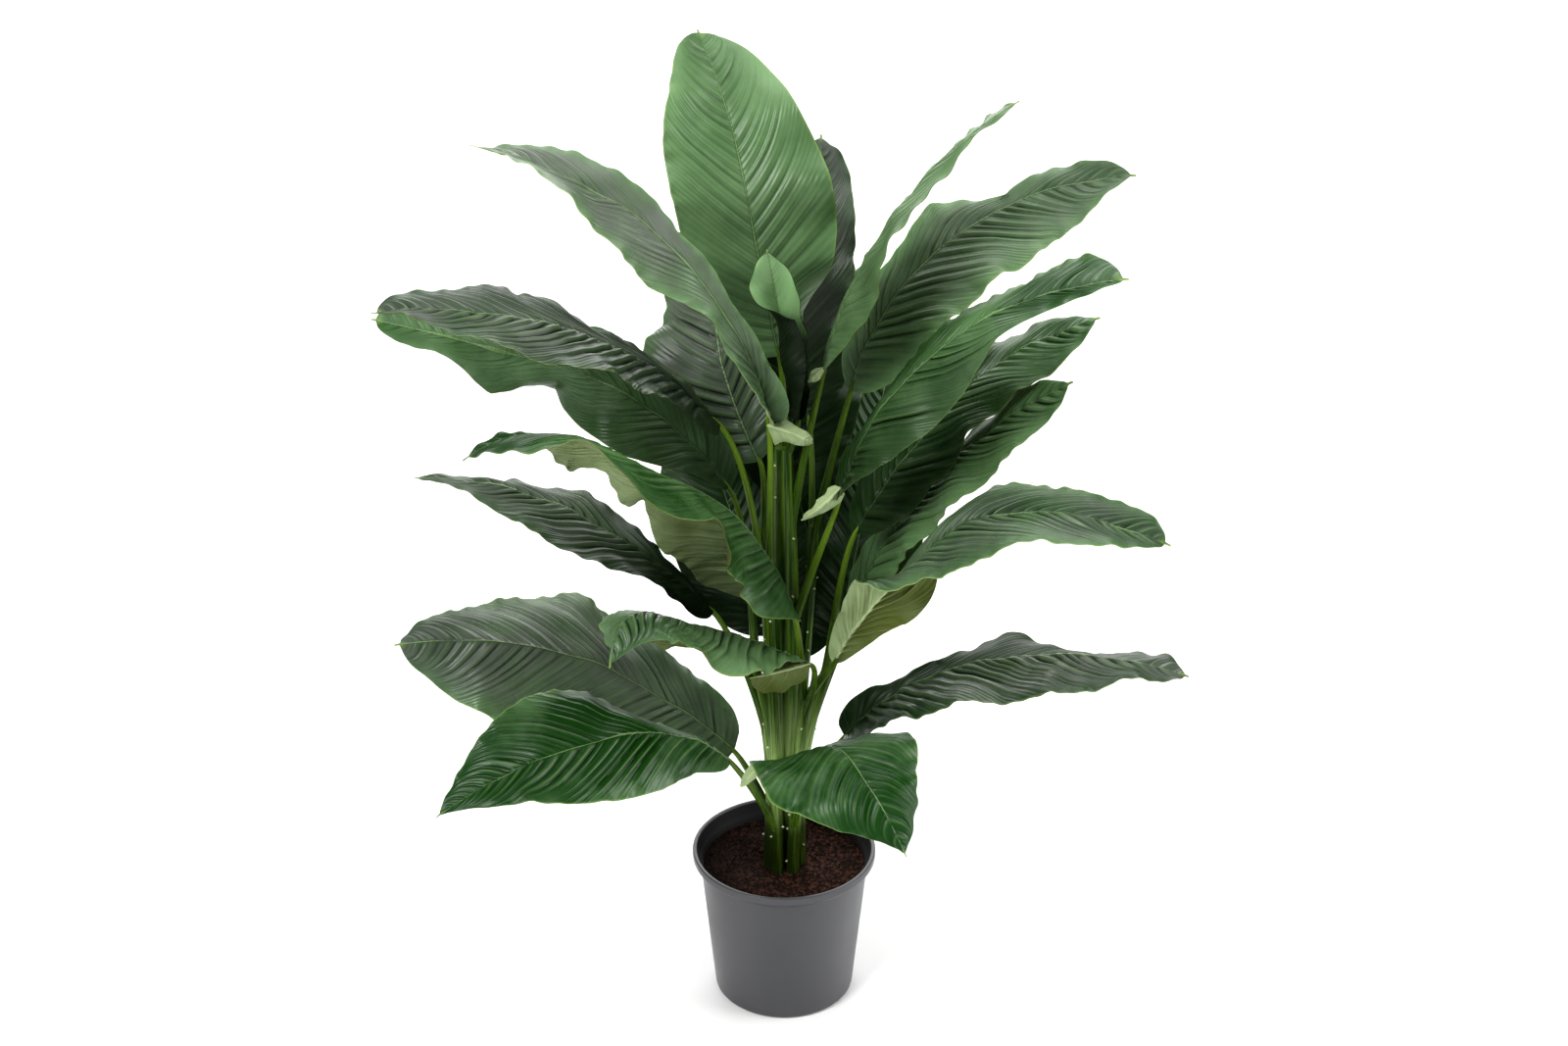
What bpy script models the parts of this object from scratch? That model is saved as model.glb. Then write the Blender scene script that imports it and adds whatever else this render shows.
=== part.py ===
"""Potted peace lily: a round plastic pot, its soil, seven leafy shoots and their leaf blades.

The origin is the middle of the pot's underside, +Z is up and -Y is the front.
Sizes are in millimetres and degrees, and become metres where a mesh is made.
"""
import math

import bpy
import numpy as np

MM = 0.001
GAP = 0.3               # between pieces that touch

# Pot
POT_HEIGHT = 150.0
POT_LIP_RADIUS = 85.0   # outside of the rolled lip
POT_FOOT_RADIUS = 65.0  # outside of the wall, carried down to the floor
POT_NECK_RADIUS = 78.0  # outside of the wall where it flares into the lip
POT_NECK_HEIGHT = 137.0
POT_WALL = 2.2
POT_FLOOR = 3.0
POT_SIDES = 40
DRAIN_COUNT = 6
DRAIN_RADIUS = 4.5
DRAIN_CIRCLE = 46.0     # radius of the ring of drain holes in the floor

# Soil
SOIL_TOP = 132.0
SOIL_SWELL = 2.0        # height of its low humps
SOIL_SIDES = 32

# Stalks and leaf stems
STALK_FOOT = 70.0       # height of the stalks' feet, deep in the soil
STALK_RADIUS = 6.0      # at the soil
STALK_TIP_RADIUS = 5.0
CENTRE_HEIGHTS = (132.0, 260.0, 350.0, 430.0, 560.0)
CENTRE_RADII = (6.0, 8.5, 11.5, 11.5, 8.0)   # the centre stalk swells where its sheaths overlap
STALK_SIDES = 8
STEM_RADIUS = 3.4       # a leaf stem where it leaves its stalk
STEM_TIP_RADIUS = 2.4   # and where it meets its blade
STEM_SIDES = 6
STEM_STEPS = 8
STEM_RISE = 0.6         # how long a stem keeps its stalk's direction
STEM_LEVEL = 0.6        # how long a stem runs in its blade's direction before the blade

# Blades
BLADE_THICKNESS = 1.0
BLADE_RIB = 1.6         # how far the midrib stands below the blade at its base
BLADE_STATIONS = 17
BLADE_COLUMNS = (0.4, 0.74, 1.0)    # shares of the half width
BLADE_BASE_HALF = 2.4
BLADE_TIP_HALF = 0.9
FULLEST = 0.43          # where along its length a blade is widest
TIP_DRAW = 0.7          # a higher value makes a more pointed blade
TIP_START = 0.985       # from here on only the fine point of the tip

# Each stalk: where it stands in the soil, and the points that it passes on its way up.
STALKS = {
    "centre": ((1, 0), (2, 0, 350), (0, 2, 560)),
    "front_left": ((-6, -12), (-10, -22, 300), (-14, -26, 430)),
    "front_right": ((8, -12), (14, -24, 250), (18, -32, 330)),
    "right": ((14, 0), (18, -2, 250), (38, 4, 335)),
    "back_right": ((8, 13), (18, 24, 330), (28, 30, 470)),
    "back_left": ((-6, 12), (-12, 26, 330), (-20, 34, 450)),
    "left": ((-13, -1), (-13, 4, 250), (-27, 6, 340)),
}

# Each blade: its stalk and how far up that stalk its stem leaves, points along its midrib from
# base to tip, its full width, the height of its edge waves and where each edge's waves start, in
# degrees. Then, in even steps from base to tip: where its upper side looks, how far its left and
# right halves rise from the midrib in degrees, how much each half bends on to its edge (curl),
# and how much of the width each half has (full).
BLADES = {
    "crown": dict(
        stalk="centre", leaves=0.8, width=132, wave=5.5, draw=0.42, phase=(330, 50),
        points=((-4, 15, 640), (-24, 35, 736), (-45, 70, 829), (-73, 115, 896)),
        face=((0.1, -0.9, 0.3), (-0.1, -0.8, 0.6)),
        rise=((12, 12, 16, 28, 62), (-50, -7, 7, 0, -28)), curl=(-15, -10),
        full=((0.9, 0.9, 0.9, 0.95, 1.05, 1, 1.05), (0.5, 0.95, 1.1, 1.1, 1, 0.95, 0.9))),
    "young": dict(
        stalk="centre", leaves=0.95, width=84, wave=1, phase=(185, 340),
        points=((12, -8, 590), (4, -11, 640), (-4, -13, 690), (-14, -20, 750)),
        face=((0.1, -1, 0.2), (0, -1, 0.5)),
        rise=((40, 40, 40, 45, 45, 10, 0), (35, 35, 35, 30, 25, 15, 0)),
        curl=((100, 110, 140, 150, 135, 20, 0), (20, 20, 20, 20, 15, 10, 10)),
        full=((0.7, 0.9, 1, 1, 1, 0.9, 0.9), (0.5, 0.5, 0.5, 0.55, 0.6, 0.7, 0.8))),
    "upper_left": dict(
        stalk="front_left", leaves=0.9, width=98, wave=2, phase=(190, 95),
        points=((-12, -20, 592), (-45, -55, 701), (-124, -75, 804), (-248, -60, 853)),
        face=((0.95, -0.3, 0.4), (0.4, -0.4, 0.8), (0.1, 0, 1)),
        rise=((44, -20, -41, 9, 40), (96, 58, 29, 13, -5)), curl=(-10, 0),
        full=((0.8, 0.5, 0.25, 0.7, 0.9, 1.1, 1.25), (1.1, 0.3, 0.25, 0.3, 0.6, 1.1, 1.3))),
    "right_narrow": dict(
        stalk="centre", leaves=0.7, width=90, wave=1.5, phase=(0, 130),
        points=((33, -10, 640), (59, -10, 718), (123, 0, 813), (191, 10, 867)),
        face=((-0.9, -0.3, 0.5), (-0.85, 0.1, 0.5), (-0.6, 0.3, 0.8)),
        rise=((-9, -10, -4, 2, 24), (22, -4, 3, -22, -43)), curl=(-10, -10),
        full=((0.75, 0.9, 1.05, 1.1, 1.15, 1.1, 1), (1.2, 1.3, 1.3, 1.05, 0.65, 0.25, 0.55))),
    "left_upper": dict(
        stalk="front_left", leaves=0.7, width=95, wave=3, draw=0.45, phase=(20, 5),
        points=((-54, -25, 595), (-135, -50, 673), (-192, -80, 710), (-330, -100, 726)),
        face=((0.4, -0.1, 0.9), (0.1, 0, 1)),
        rise=((5, 8, 2, -9, 13), (-17, -6, -3, 5, 31)), curl=(-5, -5),
        full=((1.3, 1.4, 1.5, 1.45, 1.25, 0.75, 0.25), (0.85, 0.8, 0.8, 1.2, 1.2, 0.9, 1))),
    "left_under": dict(
        stalk="left", leaves=0.9, width=106, wave=7, draw=0.42, phase=(255, 100),
        points=((-48, 0, 523), (-131, 0, 609), (-247, -15, 660), (-344, -22, 689)),
        face=((0.4, -0.6, 0.8), (0.1, -0.6, 0.9)),
        rise=((44, 2, -96, -54, -26), (-10, -9, -7, -6, -5)), curl=(-10, -5),
        full=((0.65, 0.85, 0.95, 0.9, 0.9, 0.4, 0.55), (1, 1, 1, 1, 1, 1, 1))),
    "low_left_front": dict(
        stalk="front_left", leaves=0.12, width=125, wave=1, phase=(295, 155),
        points=((-48, -45, 272), (-109, -95, 333), (-202, -145, 338), (-294, -180, 300)),
        face=((0.2, -0.6, 0.8), (-0.1, -0.6, 0.8), (-0.5, -0.6, 0.6)),
        rise=((12, -7, -9, 15, 6), (-58, -52, -12, 8, 2)), curl=(-10, -10),
        full=((0.6, 0.6, 0.85, 0.9, 0.9, 0.7, 0.25), (0.65, 0.75, 0.9, 1.1, 1.15, 1.05, 0.65))),
    "arch_left": dict(
        stalk="front_right", leaves=0.9, width=125, wave=8, phase=(15, 50),
        points=((10, -42, 419), (-53, -90, 553), (-88, -122, 590), (-212, -124, 631), (-261, -118, 605)),
        face=((0.6, 0.3, 0.6), (0.3, 0.6, 0.7), (0, 0.2, 1)),
        rise=((-3, -57, -34, 2, -16), (-34, -50, -16, -37, 38)), curl=(-10, -10),
        full=((1.25, 1.3, 1.05, 0.85, 1.9, 1.45, 1), (1.55, 1.3, 1.1, 0.9, 0.7, 0.95, 1.25))),
    "small_front": dict(
        stalk="front_right", leaves=0.85, width=95, wave=4.5, phase=(70, 240),
        points=((24, -50, 375), (-69, -105, 443), (-130, -150, 476), (-143, -183, 448)),
        face=((0.2, 0.3, 0.9), (0, 0.3, 0.9), (-0.5, -0.3, 0.8)),
        rise=((10, -10, -17, -10, -48), (-42, -27, -11, -8, -51)), curl=(-15, -15),
        full=((0.25, 0.75, 1.25, 1.7, 1.65, 1.35, 0.75), (0.9, 1.05, 1.15, 1.35, 1.5, 1.55, 1.35))),
    "front_low": dict(
        stalk="front_right", leaves=0.2, width=135, wave=3.5, phase=(30, 115),
        points=((16, -50, 262), (48, -100, 318), (75, -150, 308), (104, -182, 262)),
        face=((-0.2, 0.2, 1), (0, -0.8, 0.5)),
        rise=((33, -11, -6, -17, -34), (25, 20, 6, -5, -19)), curl=(-20, -10),
        full=((0.8, 0.85, 0.95, 1, 0.85, 0.85, 0.75), (1.15, 1.15, 1.15, 1.2, 1, 0.75, 0.35))),
    "arch_right": dict(
        stalk="front_right", leaves=0.95, width=105, wave=3, draw=0.5, phase=(160, 355),
        points=((45, -30, 365), (87, -75, 460), (166, -115, 552), (316, -140, 538)),
        face=((0.45, 0.86, 0.2), (0.45, 0.86, 0.2), (0.4, 0.86, 0.3), (-0.4, 0.5, 0.75),
              (-0.35, 0, 0.9), (-0.1, -0.1, 1), (0, -0.1, 1), (0, -0.1, 1), (0, -0.1, 1)),
        rise=((10, 10, 20, 50, 45, 30, 14, 30, 50), (10, 10, 5, 0, -9, -4, 3, 5, 7)),
        curl=((0, -20, -40, -110, -130, -60, -10, -10, -10), (-30, -30, -10, -10)),
        full=((0.3, 0.5, 0.85, 1, 0.9, 0.7, 1.1), (0.4, 0.45, 0.7, 0.95, 0.95, 1.05, 1.1))),
    "right_front": dict(
        stalk="centre", leaves=0.5, width=105, wave=1.5, draw=0.5, phase=(340, 350),
        points=((46, -40, 532), (106, -80, 667), (180, -110, 737), (271, -120, 763)),
        face=((-0.7, -0.3, 0.5), (-0.4, -0.4, 0.7), (-0.1, -0.7, 0.7)),
        rise=((10, -21, -22, -39, -17), (35, -17, -40, -17, 16)), curl=(-10, -15),
        full=((0.6, 0.5, 0.7, 0.9, 1.05, 1.3, 1.9), (0.4, 0.7, 0.85, 0.8, 0.4, 0.35, 0.25))),
    "low_right": dict(
        stalk="right", leaves=0.3, width=95, wave=4, draw=0.5, phase=(290, 135),
        points=((55, 0, 271), (125, -10, 337), (223, -20, 367), (360, -30, 350)),
        face=((-0.4, -0.1, 0.9), (0, 0, 1)),
        rise=((53, 16, 1, -31, 10), (14, 7, 2, -12, 1)), curl=(-5, -5),
        full=((0.8, 0.4, 0.25, 0.8, 0.95, 1.1, 1.55), (1.05, 1.2, 1.3, 1.4, 1.25, 0.8, 0.8))),
    "right_mid": dict(
        stalk="right", leaves=0.95, width=100, wave=3.5, phase=(115, 35),
        points=((62, 5, 476), (108, 25, 542), (178, 40, 617), (272, 50, 661)),
        face=((-0.6, -0.4, 0.6), (-0.3, -0.2, 0.9)),
        rise=((2, 0, -4, -13, -1), (-9, -5, 3, -7, -15)), curl=(-10, -10),
        full=((1, 1, 1, 1, 1.05, 1.05, 1.1), (1.05, 1, 0.95, 0.9, 0.95, 1.2, 1.35))),
    "right_low_mid": dict(
        stalk="right", leaves=0.7, width=105, wave=2, phase=(85, 290),
        points=((60, 15, 386), (91, 15, 464), (155, 5, 555), (245, -5, 625)),
        face=((-0.7, -0.4, 0.5), (-0.5, -0.3, 0.8)),
        rise=((-3, -23, -39, -18, 33), (5, 16, 12, -5, -26)), curl=(-10, -10),
        full=((1.2, 1.15, 1.1, 0.9, 0.8, 0.8, 0.9), (0.95, 0.9, 0.9, 0.95, 0.95, 0.9, 1.15))),
    "right_top": dict(
        stalk="back_right", leaves=0.95, width=108, wave=5, phase=(30, 25),
        points=((57, 20, 606), (111, 45, 704), (172, 75, 743), (301, 90, 775)),
        face=((-0.5, -0.6, 0.5), (-0.1, -0.6, 0.8)),
        rise=((-9, -4, 8, -7, 13), (10, 13, 15, 1, 19)), curl=(-10, -10),
        full=((0.85, 0.7, 0.55, 0.7, 0.25, 0.75, 1.1), (1.35, 1.3, 1.2, 1.25, 1.2, 1.2, 0.8))),
    "back_right_high": dict(
        stalk="back_right", leaves=0.7, width=110, wave=4.5, phase=(315, 65),
        points=((22, 65, 556), (16, 100, 634), (29, 145, 715), (33, 205, 773)),
        face=((0.1, -0.9, 0.4), (0.1, -0.8, 0.6)),
        rise=((5, 4, 2, 1, 0), (4, 2, 2, 6, 16)), curl=(-10, -25), full=((1, 0.8, 0.7, 0.75, 0.9, 1, 1),
        (1.05, 0.95, 0.85, 0.8, 0.75, 0.9, 1.2))),
    "back_left_high": dict(
        stalk="back_left", leaves=0.95, width=115, wave=5, phase=(225, 200),
        points=((-22, 38, 530), (-54, 75, 602), (-68, 115, 655), (-112, 155, 700)),
        face=((-0.3, -0.8, 0.5), (-0.3, -0.8, 0.6)),
        rise=((8, 9, 3, -20, -13), (5, 4, 3, 1, 0)), curl=(-10, -10),
        full=((1.05, 1.2, 1.3, 1.3, 1.15, 1, 0.85), (0.8, 0.8, 0.75, 0.7, 0.65, 0.7, 0.9))),
    "back_left_low": dict(
        stalk="back_left", leaves=0.5, width=125, wave=4, phase=(145, 260),
        points=((-15, 45, 350), (-40, 90, 426), (-67, 125, 489), (-99, 160, 542)),
        face=((-0.1, -0.8, 0.5), (-0.1, -0.8, 0.6)),
        rise=((5, 0), (5, 0)), curl=(-10, -10)),
    "mid_left": dict(
        stalk="left", leaves=0.6, width=80, wave=1.5, phase=(120, 5),
        points=((-63, 0, 401), (-151, 5, 475), (-211, 15, 504), (-325, 25, 519)),
        face=((0.4, -0.3, 0.8), (0.1, -0.1, 1)),
        rise=((22, 33, 5, -15, -4), (-27, -16, -8, -24, -9)), curl=(-10, -10),
        full=((1.9, 1.75, 1.6, 1.3, 1, 0.6, 0.25), (0.85, 0.95, 1.1, 1.2, 1.15, 1.1, 1))),
    "low_left_big": dict(
        stalk="left", leaves=0.2, width=130, wave=6, draw=0.5, phase=(290, 20),
        points=((-46, 12, 248), (-126, 5, 319), (-196, -15, 366), (-341, -45, 391)),
        face=((0.4, -0.5, 0.8), (0, -0.5, 0.9)),
        rise=((3, 2, -5, -24, -46), (0, -17, -18, -21, -3)), curl=(-10, -10),
        full=((0.9, 1, 1.1, 1.25, 1.35, 1.25, 1.05), (1.05, 0.95, 1.2, 1.45, 1.25, 1.05, 0.65))),
    "back_high": dict(
        stalk="back_left", leaves=0.8, width=120, wave=4, phase=(280, 220),
        points=((0, 60, 480), (10, 120, 555), (20, 190, 600), (30, 270, 600)),
        face=((0, -0.6, 0.8), (0, 0, 1)),
        rise=((5, 0), (5, 0)), curl=(-10, -10)),
    "back_mid": dict(
        stalk="back_right", leaves=0.45, width=120, wave=4, phase=(130, 70),
        points=((50, 48, 335), (70, 105, 430), (88, 175, 510), (105, 250, 545)),
        face=((-0.2, -0.6, 0.8), (0, 0, 1)),
        rise=((5, 0), (5, 0)), curl=(-10, -10)),
    "back_low": dict(
        stalk="back_left", leaves=0.3, width=115, wave=4, phase=(250, 230),
        points=((14, 58, 318), (4, 125, 392), (-20, 200, 420), (-60, 272, 402)),
        face=((0, -0.5, 0.8), (0, 0.2, 1)),
        rise=((5, 0), (5, 0)), curl=(-10, -10)),
}


def smooth_path(points, count):
    """Even steps along one smooth curve through the points, with the direction at each."""
    points = np.asarray(points, float)
    spans = np.linalg.norm(np.diff(points, axis=0), axis=1)
    knots = np.concatenate(([0.0], np.cumsum(spans)))
    slopes = np.gradient(points, knots, axis=0, edge_order=2 if len(points) > 2 else 1)
    fine = []
    for start in range(len(points) - 1):
        share = np.linspace(0, 1, 40, endpoint=start == len(points) - 2)[:, None]
        p, q = points[start], points[start + 1]
        m, n = slopes[start] * spans[start], slopes[start + 1] * spans[start]
        fine.append((2 * share**3 - 3 * share**2 + 1) * p + (share**3 - 2 * share**2 + share) * m
                    + (3 * share**2 - 2 * share**3) * q + (share**3 - share**2) * n)
    fine = np.concatenate(fine)
    run = np.concatenate(([0.0], np.cumsum(np.linalg.norm(np.diff(fine, axis=0), axis=1))))
    steps = np.linspace(0, run[-1], count)
    places = np.stack([np.interp(steps, run, fine[:, axis]) for axis in range(3)], axis=1)
    directions = np.gradient(places, axis=0, edge_order=2)
    return places, directions / np.linalg.norm(directions, axis=1)[:, None]


def across(vectors, directions):
    """The share of each vector that is square to its direction, one long."""
    vectors = vectors - (vectors * directions).sum(1)[:, None] * directions
    return vectors / np.linalg.norm(vectors, axis=1)[:, None]


def half_widths(blade, along):
    """Half the blade's width at each share of its length: full, then drawn out to the tip."""
    draw = blade.get("draw", TIP_DRAW)
    rise = draw * FULLEST / (1 - FULLEST)
    body = np.clip(along / TIP_START, 0, 1)
    shape = body**rise * (1 - body)**draw / (FULLEST**rise * (1 - FULLEST)**draw)
    least = BLADE_BASE_HALF + (BLADE_TIP_HALF - BLADE_BASE_HALF) * along
    return np.maximum(blade["width"] / 2 * shape, least)


def stepped(values, along):
    """Values given in even steps from base to tip, read at each share of the length."""
    values = np.asarray(values, float)
    steps = np.linspace(0, 1, len(values))
    if values.ndim == 1:
        return np.interp(along, steps, values)
    return np.stack([np.interp(along, steps, column) for column in values.T], axis=1)


def blade_surface(blade, stations, columns):
    """The blade's middle surface, as rows from base to tip of points from left to right."""
    along = np.linspace(0, 1, stations)
    places, directions = smooth_path(blade["points"], stations)
    up = across(stepped(blade["face"], along), directions)
    right = np.cross(directions, up)
    halves = half_widths(blade, along)
    rows = [places[:, None]]
    for side in (0, 1):
        turn = (-1, 1)[side]
        rise = np.radians(stepped(blade["rise"][side], along))
        curl = np.radians(stepped(np.atleast_1d(blade["curl"][side]), along))
        full = stepped(np.atleast_1d(blade.get("full", (1, 1))[side]), along)
        phase = math.radians(blade["phase"][side])
        ripple = blade["wave"] * np.sin(9 * math.pi * along + phase) * np.sin(math.pi * along)
        point, done, row = places, 0.0, []
        for share in columns:
            bend = rise + curl * (share + done) / 2
            step = halves * full * (share - done)
            point = point + turn * (np.cos(bend) * step)[:, None] * right
            point = point + (np.sin(bend) * step)[:, None] * up
            lift = ripple * share**2
            row.append(point + lift[:, None] * up)
            done = share
        side_rows = np.stack(row, axis=1)
        rows = [side_rows[:, ::-1]] + rows if side == 0 else rows + [side_rows]
    return np.concatenate(rows, axis=1)


def surface_normals(grid):
    """The direction that each point of the grid faces, upper side out."""
    along = np.gradient(grid, axis=0)
    over = np.gradient(grid, axis=1)
    normals = np.cross(over, along)
    return normals / np.linalg.norm(normals, axis=2)[:, :, None]


def make_object(name, points, faces, material):
    """One object from points in millimetres and faces that look outward."""
    mesh = bpy.data.meshes.new(name)
    mesh.from_pydata([tuple(point) for point in np.asarray(points) * MM], [], faces)
    mesh.update()
    piece = bpy.data.objects.new(name, mesh)
    bpy.context.collection.objects.link(piece)
    mesh.materials.append(material)
    return piece


def make_material(name, colour, roughness):
    """A plain finish with no metal in it."""
    material = bpy.data.materials.new(name)
    material.use_nodes = True
    shader = material.node_tree.nodes["Principled BSDF"]
    shader.inputs["Base Color"].default_value = (*colour, 1)
    shader.inputs["Roughness"].default_value = roughness
    shader.inputs["Metallic"].default_value = 0
    return material


def make_blade(name, blade, material):
    """A thin closed leaf blade: two faces split alike, a rib below, and a rim round them."""
    grid = blade_surface(blade, BLADE_STATIONS, BLADE_COLUMNS)
    rows, width = grid.shape[:2]
    middle = width // 2
    normals = surface_normals(grid)
    upper = grid + normals * BLADE_THICKNESS / 2
    lower = grid - normals * BLADE_THICKNESS / 2
    rib = BLADE_RIB * (1 - np.linspace(0, 1, rows))
    lower[:, middle] -= normals[:, middle] * rib[:, None]
    points = np.concatenate([upper.reshape(-1, 3), lower.reshape(-1, 3)])
    below = rows * width
    faces = []
    for row in range(rows - 1):
        for column in range(width - 1):
            a = row * width + column
            b, c, d = a + 1, a + width + 1, a + width
            for corner in ((a, b, c), (a, c, d)):
                faces.append(corner)
                faces.append(tuple(below + index for index in reversed(corner)))
        for a, b in ((row * width, (row + 1) * width),
                     ((row + 2) * width - 1, (row + 1) * width - 1)):
            faces.append((a, b, below + b, below + a))
    last = (rows - 1) * width
    faces.append([*range(width - 1, -1, -1)] + [below + index for index in range(width)])
    faces.append([last + index for index in range(width)]
                 + [below + last + index for index in range(width - 1, -1, -1)])
    return make_object(name, points, faces, material)


def tube(points, radii, sides):
    """A closed tube along the points: its points and faces."""
    points = np.asarray(points, float)
    directions = np.gradient(points, axis=0, edge_order=2)
    directions /= np.linalg.norm(directions, axis=1)[:, None]
    reference = across(np.array([[1.0, 0.0, 0.0]]), directions[:1])[0]
    rings = []
    for point, direction, radius in zip(points, directions, radii):
        reference = across(reference[None], direction[None])[0]
        other = np.cross(direction, reference)
        for side in range(sides):
            angle = 2 * math.pi * (side + 0.5) / sides
            rings.append(point + radius * (math.cos(angle) * reference + math.sin(angle) * other))
    faces = [[*range(sides - 1, -1, -1)]]
    for ring in range(len(points) - 1):
        for side in range(sides):
            a, b = ring * sides + side, ring * sides + (side + 1) % sides
            faces.append((a, b, b + sides, a + sides))
    faces.append([(len(points) - 1) * sides + side for side in range(sides)])
    return rings, faces


def stalk_line(stalk):
    """The stalk's middle line: straight up out of the soil, then on through its points."""
    (x, y), *rest = stalk
    bend = SOIL_TOP + 8
    free, _ = smooth_path(((x, y, bend - 20), (x, y, bend), *rest), 12)
    free = free[free[:, 2] > bend]
    return np.concatenate(([(x, y, STALK_FOOT), (x, y, SOIL_TOP - 12), (x, y, bend)], free))


def stem_line(line, blade):
    """A leaf stem's middle line, from inside its stalk to just short of its blade."""
    at = SOIL_TOP + (line[-1, 2] - SOIL_TOP) * blade["leaves"]
    root = np.array([np.interp(at, line[:, 2], line[:, axis]) for axis in range(3)])
    below = np.array([np.interp(at - 10, line[:, 2], line[:, axis]) for axis in range(3)])
    leave = root - below
    leave = leave / np.linalg.norm(leave)
    places, directions = smooth_path(blade["points"], BLADE_STATIONS)
    end = places[0] - directions[0] * GAP
    reach = np.linalg.norm(end - root)
    share = np.linspace(0, 1, STEM_STEPS)[:, None]
    return ((2 * share**3 - 3 * share**2 + 1) * root
            + (share**3 - 2 * share**2 + share) * leave * reach * STEM_RISE
            + (3 * share**2 - 2 * share**3) * end
            + (share**3 - share**2) * directions[0] * reach * STEM_LEVEL)


def combine(target, others, operation, solver="EXACT"):
    """Fuse the other objects into the target, or cut them out of it, and remove them."""
    group = bpy.data.collections.new("others")
    bpy.context.scene.collection.children.link(group)
    for other in others:
        for home in list(other.users_collection):
            home.objects.unlink(other)
        group.objects.link(other)
    step = target.modifiers.new("combine", "BOOLEAN")
    step.operation = operation
    step.operand_type = "COLLECTION"
    step.collection = group
    step.solver = solver
    bpy.context.view_layer.objects.active = target
    bpy.ops.object.modifier_apply(modifier=step.name)
    for other in list(group.objects):
        bpy.data.objects.remove(other)
    bpy.data.collections.remove(group)


def make_shoot(name, material):
    """A stalk with the stems of its leaves, fused in one solid."""
    line = stalk_line(STALKS[name])
    rise = np.clip((line[:, 2] - SOIL_TOP) / (line[-1, 2] - SOIL_TOP), 0, 1)
    radii = STALK_RADIUS + (STALK_TIP_RADIUS - STALK_RADIUS) * rise
    if name == "centre":
        radii = np.interp(line[:, 2], CENTRE_HEIGHTS, CENTRE_RADII)
    stalk = make_object("shoot_" + name, *tube(line, radii, STALK_SIDES), material)
    stems = []
    for blade_name, blade in BLADES.items():
        if blade["stalk"] == name:
            taper = np.linspace(STEM_RADIUS, STEM_TIP_RADIUS, STEM_STEPS)
            shape = tube(stem_line(line, blade), taper, STEM_SIDES)
            stems.append(make_object("stem_" + blade_name, *shape, material))
    combine(stalk, stems, "UNION", "MANIFOLD")
    return stalk


def turned(name, profile, sides, material):
    """A solid of revolution from a profile of (radius, height) that starts and ends on the axis."""
    points = [(0, 0, profile[0][1])]
    for radius, height in profile[1:-1]:
        for side in range(sides):
            angle = 2 * math.pi * side / sides
            points.append((radius * math.cos(angle), radius * math.sin(angle), height))
    points.append((0, 0, profile[-1][1]))
    rings = len(profile) - 2
    faces = []
    for side in range(sides):
        after = (side + 1) % sides
        faces.append((0, 1 + after, 1 + side))
        for ring in range(rings - 1):
            a, b = 1 + ring * sides + side, 1 + ring * sides + after
            faces.append((a, b, b + sides, a + sides))
        last = 1 + (rings - 1) * sides
        faces.append((last + side, last + after, len(points) - 1))
    return make_object(name, points, faces, material)


def inner_radius(height):
    """The pot wall's inner radius at a height below the neck."""
    taper = (POT_NECK_RADIUS - POT_FOOT_RADIUS) / POT_NECK_HEIGHT
    return POT_FOOT_RADIUS + taper * height - POT_WALL


def make_pot(material):
    """A thin tapered cup with a rounded foot, a lip rolled outward and drain holes in its floor."""
    foot = 5.0
    lip = POT_LIP_RADIUS
    top = POT_HEIGHT
    outside = [(0, 0), (POT_FOOT_RADIUS - foot, 0), (POT_FOOT_RADIUS - foot * 0.3, foot * 0.3),
               (POT_FOOT_RADIUS + 0.5, foot), (POT_NECK_RADIUS, POT_NECK_HEIGHT),
               (POT_NECK_RADIUS + 2.5, POT_NECK_HEIGHT + 2), (lip - 2, top - 9), (lip, top - 7),
               (lip, top - 2), (lip - 1, top - 0.4), (lip - 2.2, top)]
    inside = [(lip - 3.6, top - 0.6), (lip - 4.6, top - 3),
              (POT_NECK_RADIUS + 0.4, POT_NECK_HEIGHT + 3),
              (inner_radius(POT_NECK_HEIGHT), POT_NECK_HEIGHT),
              (inner_radius(POT_FLOOR + 3), POT_FLOOR + 3),
              (inner_radius(POT_FLOOR) - 3, POT_FLOOR), (0, POT_FLOOR)]
    pot = turned("pot", outside + inside, POT_SIDES, material)
    drains = []
    for index in range(DRAIN_COUNT):
        angle = 2 * math.pi * (index + 0.5) / DRAIN_COUNT
        x, y = DRAIN_CIRCLE * math.cos(angle), DRAIN_CIRCLE * math.sin(angle)
        line = [(x, y, -2), (x, y, POT_FLOOR / 2), (x, y, POT_FLOOR + 2)]
        drains.append(make_object(f"drain_{index}", *tube(line, [DRAIN_RADIUS] * 3, 12), material))
    combine(pot, drains, "DIFFERENCE")
    return pot


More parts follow.
